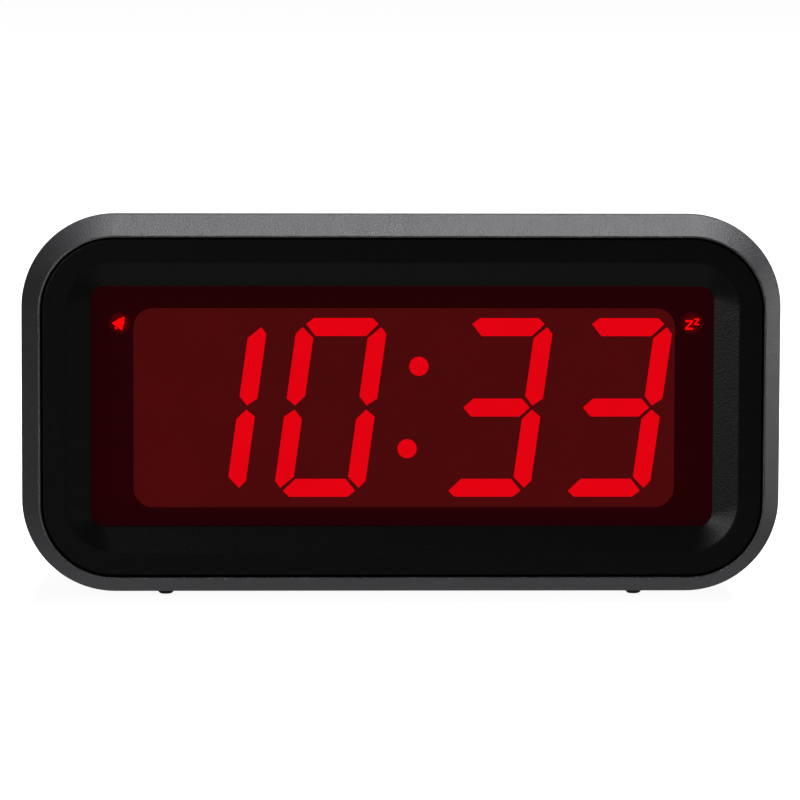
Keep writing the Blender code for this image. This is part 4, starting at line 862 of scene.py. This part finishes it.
def circuit_board(name):
    """Green lacquer with a lighter pattern of tracks under it."""
    material, tree, output = start_finish(name)
    place = object_place(tree)
    cells = add_node(tree, "ShaderNodeTexBrick", {"Vector": place, "Scale": 180.0, "Mortar Size": 0.06})
    cells.inputs["Color1"].default_value = (0.010, 0.110, 0.042, 1.0)
    cells.inputs["Color2"].default_value = (0.014, 0.140, 0.055, 1.0)
    cells.inputs["Mortar"].default_value = (0.050, 0.230, 0.090, 1.0)
    bump = add_node(
        tree, "ShaderNodeBump", {"Height": cells.outputs["Fac"], "Strength": 0.2, "Distance": 0.0001}
    )
    shader = add_node(
        tree,
        "ShaderNodeBsdfPrincipled",
        {"Base Color": cells.outputs["Color"], "Roughness": 0.38, "Normal": bump.outputs["Normal"]},
    )
    tree.links.new(shader.outputs["BSDF"], output.inputs["Surface"])
    return material


zinc = plated_metal("zinc plate", (0.62, 0.61, 0.58), 0.34)
nickel = plated_metal("nickel plate", (0.70, 0.69, 0.66), 0.26)
can_metal = plated_metal("drawn can", (0.76, 0.76, 0.77), 0.28)
board_green = circuit_board("circuit board")
cell_wrap = moulded_plastic("cell wrap", (0.016, 0.130, 0.075), 0.28, depth=0.02)
band_wrap = moulded_plastic("cell wrap band", (0.300, 0.420, 0.110), 0.30, depth=0.02)
ring_wrap = moulded_plastic("cell wrap ring", (0.620, 0.610, 0.590), 0.30, depth=0.02, metallic=0.6)
sleeve_blue = moulded_plastic("capacitor sleeve", (0.030, 0.070, 0.280), 0.36, grain=500.0, depth=0.02)
red_cover = moulded_plastic("red wire cover", (0.500, 0.018, 0.018), 0.46, grain=700.0, depth=0.04)
black_cover = moulded_plastic("black wire cover", (0.018, 0.018, 0.019), 0.46, grain=700.0, depth=0.04)
ribbon_grey = moulded_plastic("ribbon grey", (0.400, 0.400, 0.410), 0.50, grain=700.0, depth=0.05)
print("finishes in all:", len(bpy.data.materials))

# %% [markdown]
# ## Softer edges on the moulded pieces
#
# The engineering model's edges are perfectly sharp, and nothing moulded is. Each of these
# pieces could be modelled again from nothing, but its shape is already right. So the helper
# copies the mesh, welds its loose triangles, clears the lines across flat faces, and lets a
# Bevel modifier round every edge by a tenth of a millimetre or two. A width of zero only welds
# and smooths: the rear case and its door keep their sharp edges, since a bevel tangles where
# small openings share one large face.


# %% Round the edges of a copy
def refined(node, name, width, material):
    """A copy of an engineering piece with rounded edges, which stands in for it."""
    source = frame["nodes"][node]
    shell = bmesh.new()
    shell.from_mesh(source.data)
    bmesh.ops.remove_doubles(shell, verts=shell.verts, dist=WELD)
    bmesh.ops.dissolve_limit(
        shell, angle_limit=math.radians(0.3), verts=shell.verts, edges=shell.edges, delimit=set()
    )
    piece = piece_from(shell, name, material)
    if width:
        rounding = piece.modifiers.new("rounded edges", "BEVEL")
        rounding.width = width
        rounding.segments = 3
        rounding.limit_method = "ANGLE"
        rounding.angle_limit = math.radians(32)
        rounding.use_clamp_overlap = True
        rounding.miter_outer = "MITER_ARC"
    settle(piece, sharp=50.0 if width else 30.0)
    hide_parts(node)
    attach(piece, body_of[node])
    return piece


body_of = {}
for body, members in frame["record"]["behaviour"]["bodies"].items():
    for node in members:
        body_of[node] = body
print("bodies:", sorted(set(body_of.values())))

# %% Refine the rear case, its door and the controls
refined("rear_case", "rear_shell", 0.0, case_black)
refined("battery_door", "rear_door", 0.0, case_black)
refined("snooze_bar", "snooze_key", 0.12 * MM, bar_black)
refined("slide_switch_knob", "switch_knob", 0.12 * MM, button_grey)
for control in ("time_set", "alarm_set", "hour", "minute"):
    refined(control + "_button", control + "_key", 0.12 * MM, button_grey)
for corner in ("front_left", "front_right", "rear_left", "rear_right"):
    refined("foot_" + corner, "rubber_foot_" + corner, 0.15 * MM, foot_rubber)

# %% [markdown]
# ## The battery cells
#
# A cell is a shape of revolution: a line from the nub to the base, turned about the axis. The
# shrink wrap covers the side and folds over both ends, and bare metal shows inside the folds.
# Blender's Screw modifier could turn the line, but each ring of faces here needs its own
# finish, and building the rings directly keeps that simple.


# %% Turn a profile about the X axis
def turned_piece(name, profile, axis_y, axis_z, steps, materials):
    """Turns (x, radius, material number) points about X. A face takes its first point's number."""
    shell = bmesh.new()
    rows = []
    for x, radius, _ in profile:
        row = []
        for step in range(steps):
            angle = 2 * math.pi * step / steps
            y, z = axis_y + radius * math.cos(angle), axis_z + radius * math.sin(angle)
            row.append(shell.verts.new((x, y, z)))
        rows.append(row)
    for number, (row, following) in enumerate(zip(rows, rows[1:])):
        for i in range(steps):
            j = (i + 1) % steps
            shell.faces.new((row[i], row[j], following[j], following[i])).material_index = profile[number][2]
    shell.faces.new(rows[0]).material_index = profile[0][2]
    shell.faces.new(rows[-1]).material_index = profile[-1][2]
    return settle(piece_from(shell, name, *materials), sharp=40.0)


# %% Make the cells
CELL_RADIUS, NUB_RADIUS, NUB_LENGTH = 7.1 * MM, 2.6 * MM, 1.2 * MM


def make_cell(node):
    """A cell in its CAD node's place. The narrower end of that node is the one with the nub."""
    low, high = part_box(node)
    axis_y, axis_z = (low[1] + high[1]) / 2, (low[2] + high[2]) / 2
    length = high[0] - low[0]
    left_end = [v.co for v in frame["nodes"][node].data.vertices if v.co.x < low[0] + 0.05 * MM]
    reach = max(math.hypot(co.y - axis_y, co.z - axis_z) for co in left_end)
    nub_on_left = reach < CELL_RADIUS / 2
    r = CELL_RADIUS
    steps = [
        (0.00, NUB_RADIUS - 0.45 * MM, 0), (0.06 * MM, NUB_RADIUS - 0.2 * MM, 0), (0.30 * MM, NUB_RADIUS, 0),
        (NUB_LENGTH + 0.25 * MM, NUB_RADIUS, 0), (NUB_LENGTH + 0.25 * MM, r - 1.7 * MM, 0),
        (NUB_LENGTH + 0.05 * MM, r - 1.4 * MM, 2), (NUB_LENGTH + 0.01 * MM, r - 0.6 * MM, 2),
        (NUB_LENGTH + 0.18 * MM, r - 0.18 * MM, 2), (NUB_LENGTH + 0.6 * MM, r, 2),
        (NUB_LENGTH + 13.0 * MM, r, 3), (NUB_LENGTH + 13.4 * MM, r, 1),
        (length - 0.55 * MM, r, 1), (length - 0.16 * MM, r - 0.16 * MM, 1),
        (length - 0.01 * MM, r - 0.55 * MM, 1),
        (length - 0.05 * MM, r - 1.4 * MM, 0), (length - 0.30 * MM, r - 1.7 * MM, 0),
    ]
    if nub_on_left:
        profile = [(low[0] + x, radius, kind) for x, radius, kind in steps]
    else:
        profile = [(high[0] - x, radius, kind) for x, radius, kind in steps]
    finishes = [nickel, cell_wrap, band_wrap, ring_wrap]
    piece = turned_piece(node.replace("battery_", ""), profile, axis_y, axis_z, 64, finishes)
    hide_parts(node)
    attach(piece, "clock")
    return nub_on_left


for row in ("upper", "lower"):
    for side in ("left", "right"):
        print(row, side, "cell, nub on the left:", make_cell("battery_cell_" + row + "_" + side))

# %% [markdown]
# ## The battery springs
#
# A conical spring is a wire that follows a spiral, which is just what Geometry Nodes are good
# at: a spiral curve gives the path, a circle gives the wire, and one node joins them. The tree
# has named inputs for its sizes, so one tree makes all four springs.

# %% Build the spring tree
spring_tree = bpy.data.node_groups.new("conical spring", "GeometryNodeTree")
SPRING_INPUTS = {
    "Turns": 3.5,
    "Base Radius": 4.2 * MM,
    "Tip Radius": 2.6 * MM,
    "Height": 5.0 * MM,
    "Wire Radius": 0.3 * MM,
}
for label, value in SPRING_INPUTS.items():
    socket = spring_tree.interface.new_socket(label, in_out="INPUT", socket_type="NodeSocketFloat")
    socket.default_value = value
spring_tree.interface.new_socket("Geometry", in_out="OUTPUT", socket_type="NodeSocketGeometry")
sizes = spring_tree.nodes.new("NodeGroupInput").outputs
spiral = add_node(
    spring_tree,
    "GeometryNodeCurveSpiral",
    {
        "Resolution": 36,
        "Rotations": sizes["Turns"],
        "Start Radius": sizes["Base Radius"],
        "End Radius": sizes["Tip Radius"],
        "Height": sizes["Height"],
    },
)
wire = add_node(
    spring_tree, "GeometryNodeCurvePrimitiveCircle", {"Resolution": 12, "Radius": sizes["Wire Radius"]}
)
tube = add_node(
    spring_tree,
    "GeometryNodeCurveToMesh",
    {"Curve": spiral.outputs["Curve"], "Profile Curve": wire.outputs["Curve"], "Fill Caps": True},
)
smooth = add_node(spring_tree, "GeometryNodeSetShadeSmooth", {"Geometry": tube.outputs["Mesh"]})
real = add_node(spring_tree, "GeometryNodeRealizeInstances", {"Geometry": smooth.outputs["Geometry"]})
coated = add_node(
    spring_tree, "GeometryNodeSetMaterial", {"Geometry": real.outputs["Geometry"], "Material": nickel}
)
result = spring_tree.nodes.new("NodeGroupOutput")
spring_tree.links.new(coated.outputs["Geometry"], result.inputs["Geometry"])
print("spring tree nodes:", len(spring_tree.nodes))


# %% Wind the springs
def grown(name, tree, values):
    """Runs a Geometry Nodes tree with these input values and returns a plain mesh piece."""
    data = bpy.data.meshes.new(name)
    piece = bpy.data.objects.new(name, data)
    bpy.context.scene.collection.objects.link(piece)
    modifier = piece.modifiers.new(name, "NODES")
    modifier.node_group = tree
    for item in tree.interface.items_tree:
        if item.in_out == "INPUT" and item.name in values:
            modifier[item.identifier] = values[item.name]
    graph = bpy.context.evaluated_depsgraph_get()
    final = bpy.data.meshes.new_from_object(piece.evaluated_get(graph))
    piece.modifiers.clear()
    piece.data = final
    bpy.data.meshes.remove(data)
    final.name = name
    return piece


def wind_spring(node):
    """A spring in its CAD node's place. The wider end of that node is the base."""
    low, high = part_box(node)
    axis_y, axis_z = (low[1] + high[1]) / 2, (low[2] + high[2]) / 2
    wire_radius = SPRING_INPUTS["Wire Radius"]
    verts = [v.co for v in frame["nodes"][node].data.vertices]
    ends = [
        max(math.hypot(co.y - axis_y, co.z - axis_z) for co in verts if abs(co.x - edge) < 1.2 * MM)
        for edge in (low[0], high[0])
    ]
    base_left = ends[0] > ends[1]
    values = dict(SPRING_INPUTS)
    values["Height"] = high[0] - low[0] - 2.2 * wire_radius
    values["Base Radius"] = (high[1] - low[1]) / 2 - 1.2 * wire_radius
    name = node.replace("battery_", "")
    piece = grown(name, spring_tree, values)
    lie_down = Matrix.Rotation(math.radians(90 if base_left else -90), 4, "Y")
    start = low[0] if base_left else high[0]
    start += (1.1 if base_left else -1.1) * wire_radius
    piece.data.transform(Matrix.Translation((start, axis_y, axis_z)) @ lie_down)
    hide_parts(node)
    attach(piece, "clock")
    return base_left


for row in ("upper", "lower"):
    for side in ("left", "right"):
        print(row, side, "spring, base on the left:", wind_spring("battery_spring_" + row + "_" + side))

# %% [markdown]
# ## Dress the pieces that keep their shape
#
# Everything else keeps the engineering model's own mesh and only needs its finish.

# %% Give the remaining pieces their finishes
FINISHES = {
    "satin_grey_plastic": satin_grey,
    "gloss_black_plastic": bar_black,
    "matte_black_plastic": case_black,
    "red_acrylic": red_acrylic,
    "dark_printed_film": dark_film_painted_glow,
    "dark_red_display_face": face_painted_glow,
    "lit_red_segment": segment_light,
    "black_rubber": foot_rubber,
    "zinc_plated_steel": zinc,
    "nickel_plated_spring": nickel,
    "green_circuit_board": board_green,
    "chip_epoxy": chip_epoxy,
    "aluminium_can": can_metal,
    "capacitor_sleeve": sleeve_blue,
    "grey_button_plastic": button_grey,
    "cell_wrap": cell_wrap,
    "red_wire_insulation": red_cover,
    "black_wire_insulation": black_cover,
    "grey_ribbon_cable": ribbon_grey,
}
slot_of = {entry["node"]: entry["material_slot"] for entry in frame["record"]["subparts"]}
for name, node in frame["nodes"].items():
    finish = FINISHES[slot_of[name]]
    node.data.materials.clear()
    node.data.materials.append(finish)
print("dressed", len(slot_of), "pieces")

# %% [markdown]
# ## The studio
#
# The clock stands on a white sweep. A floor lit by lamps alone would fade to grey far away, so
# this one also glows: fully for the camera, and for the light it throws on the clock only in a
# pool close by. It is hidden from mirror-like rays, because a white floor mirrored in the
# window would hide the display.
#
# A softbox above shapes the top of the rim, and a spot on the right fades down its right side.
# Three weaker softboxes show only in shiny surfaces: they draw the sheen on the bezel's slopes
# and the light line on the rim's front edge without washing out the rim's dark left side.

# %% Build the floor
floor_material, tree, output = start_finish("white sweep")
grain = add_node(tree, "ShaderNodeTexNoise", {"Vector": object_place(tree), "Scale": 3.0, "Detail": 2.0})
paper = ramp(tree, grain.outputs["Fac"], [(0.3, (0.88, 0.88, 0.88)), (0.7, (0.92, 0.92, 0.92))])
seen = add_node(
    tree,
    "ShaderNodeBsdfPrincipled",
    {
        "Base Color": paper,
        "Roughness": 0.9,
        "Specular IOR Level": 0.0,
        "Emission Color": (1.0, 1.0, 1.0, 1.0),
        "Emission Strength": 0.93,
    },
)
stretched = object_place(tree, (2.2, 4.0, 4.0))
near = add_node(tree, "ShaderNodeTexGradient", {"Vector": stretched}, gradient_type="SPHERICAL")
pool = ramp(tree, near.outputs["Fac"], [(0.0, 0.05), (0.75, 0.56)])
bounce = add_node(tree, "ShaderNodeEmission", {"Color": pool, "Strength": 1.0})
path = add_node(tree, "ShaderNodeLightPath")
both = add_node(
    tree,
    "ShaderNodeMixShader",
    {0: path.outputs["Is Camera Ray"], 1: bounce.outputs["Emission"], 2: seen.outputs["BSDF"]},
)
tree.links.new(both.outputs["Shader"], output.inputs["Surface"])
floor_data = bpy.data.meshes.new("floor")
floor_data.from_pydata([(-3, -3, 0), (3, -3, 0), (3, 6, 0), (-3, 6, 0)], [], [(0, 1, 2, 3)])
floor_data.materials.append(floor_material)
floor = bpy.data.objects.new("floor", floor_data)
bpy.context.scene.collection.objects.link(floor)
floor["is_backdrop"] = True
floor.visible_glossy = False
floor.visible_shadow = False
print("floor ready")

# %% Light the scene
world = bpy.data.worlds.new("studio")
bpy.context.scene.world = world
world.use_nodes = True
tree = world.node_tree
tree.nodes.clear()
seen = add_node(tree, "ShaderNodeBackground", {"Color": (1.0, 1.0, 1.0, 1.0), "Strength": 1.0})
fill = add_node(tree, "ShaderNodeBackground", {"Color": (1.0, 1.0, 1.0, 1.0), "Strength": 0.04})
path = add_node(tree, "ShaderNodeLightPath")
both = add_node(
    tree,
    "ShaderNodeMixShader",
    {0: path.outputs["Is Camera Ray"], 1: fill.outputs["Background"], 2: seen.outputs["Background"]},
)
output = add_node(tree, "ShaderNodeOutputWorld", {"Surface": both.outputs["Shader"]})


def softbox(name, place, aim, size, power):
    """A rectangular lamp at one point, aimed at another."""
    data = bpy.data.lights.new(name, "AREA")
    data.shape = "RECTANGLE"
    data.size, data.size_y = size
    data.energy = power
    lamp = bpy.data.objects.new(name, data)
    lamp.location = place
    lamp.rotation_euler = (Vector(place) - Vector(aim)).to_track_quat("Z", "Y").to_euler()
    bpy.context.scene.collection.objects.link(lamp)
    return lamp


softbox("top softbox", (0.20, 0.25, 0.9), (0.0, 0.0, 0.03), (0.7, 0.5), 9.2)
edge_light = softbox("left front softbox", (-0.62, -0.55, 0.33), (0.0, 0.0, 0.03), (0.3, 0.3), 6.6)
right_light = softbox("right front softbox", (0.58, -0.58, 0.06), (0.0, 0.0, 0.03), (0.3, 0.3), 0.36)
under_light = softbox("lower front softbox", (0.0, -0.45, -0.50), (0.0, 0.0, 0.04), (0.5, 0.3), 0.42)
for lamp in (edge_light, right_light, under_light):
    lamp.visible_diffuse = False

spot_data = bpy.data.lights.new("right spot", "SPOT")
spot_data.energy = 11.0
spot_data.spot_size = math.radians(11.5)
spot_data.spot_blend = 1.0
spot_data.shadow_soft_size = 0.06
spot = bpy.data.objects.new("right spot", spot_data)
spot.location = (0.59, 0.22, 0.03)
spot.rotation_euler = (spot.location - Vector((0.065, 0.0, 0.086))).to_track_quat("Z", "Y").to_euler()
bpy.context.scene.collection.objects.link(spot)
scene = bpy.context.scene
scene.view_settings.view_transform = "Standard"
scene.view_settings.look = "None"

# %% [markdown]
# ## Finish
#
# The last cell gathers the sizes of the engineering model and of the dressed model side by
# side, and prints the dressed model's size.

# %% Measure the dressed model
low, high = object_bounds()
sizes = {"cad": [list(cad_low), list(cad_high)], "visual": [list(low), list(high)]}
print("visual size in mm:", [round((b - a) / MM, 2) for a, b in zip(low, high)])
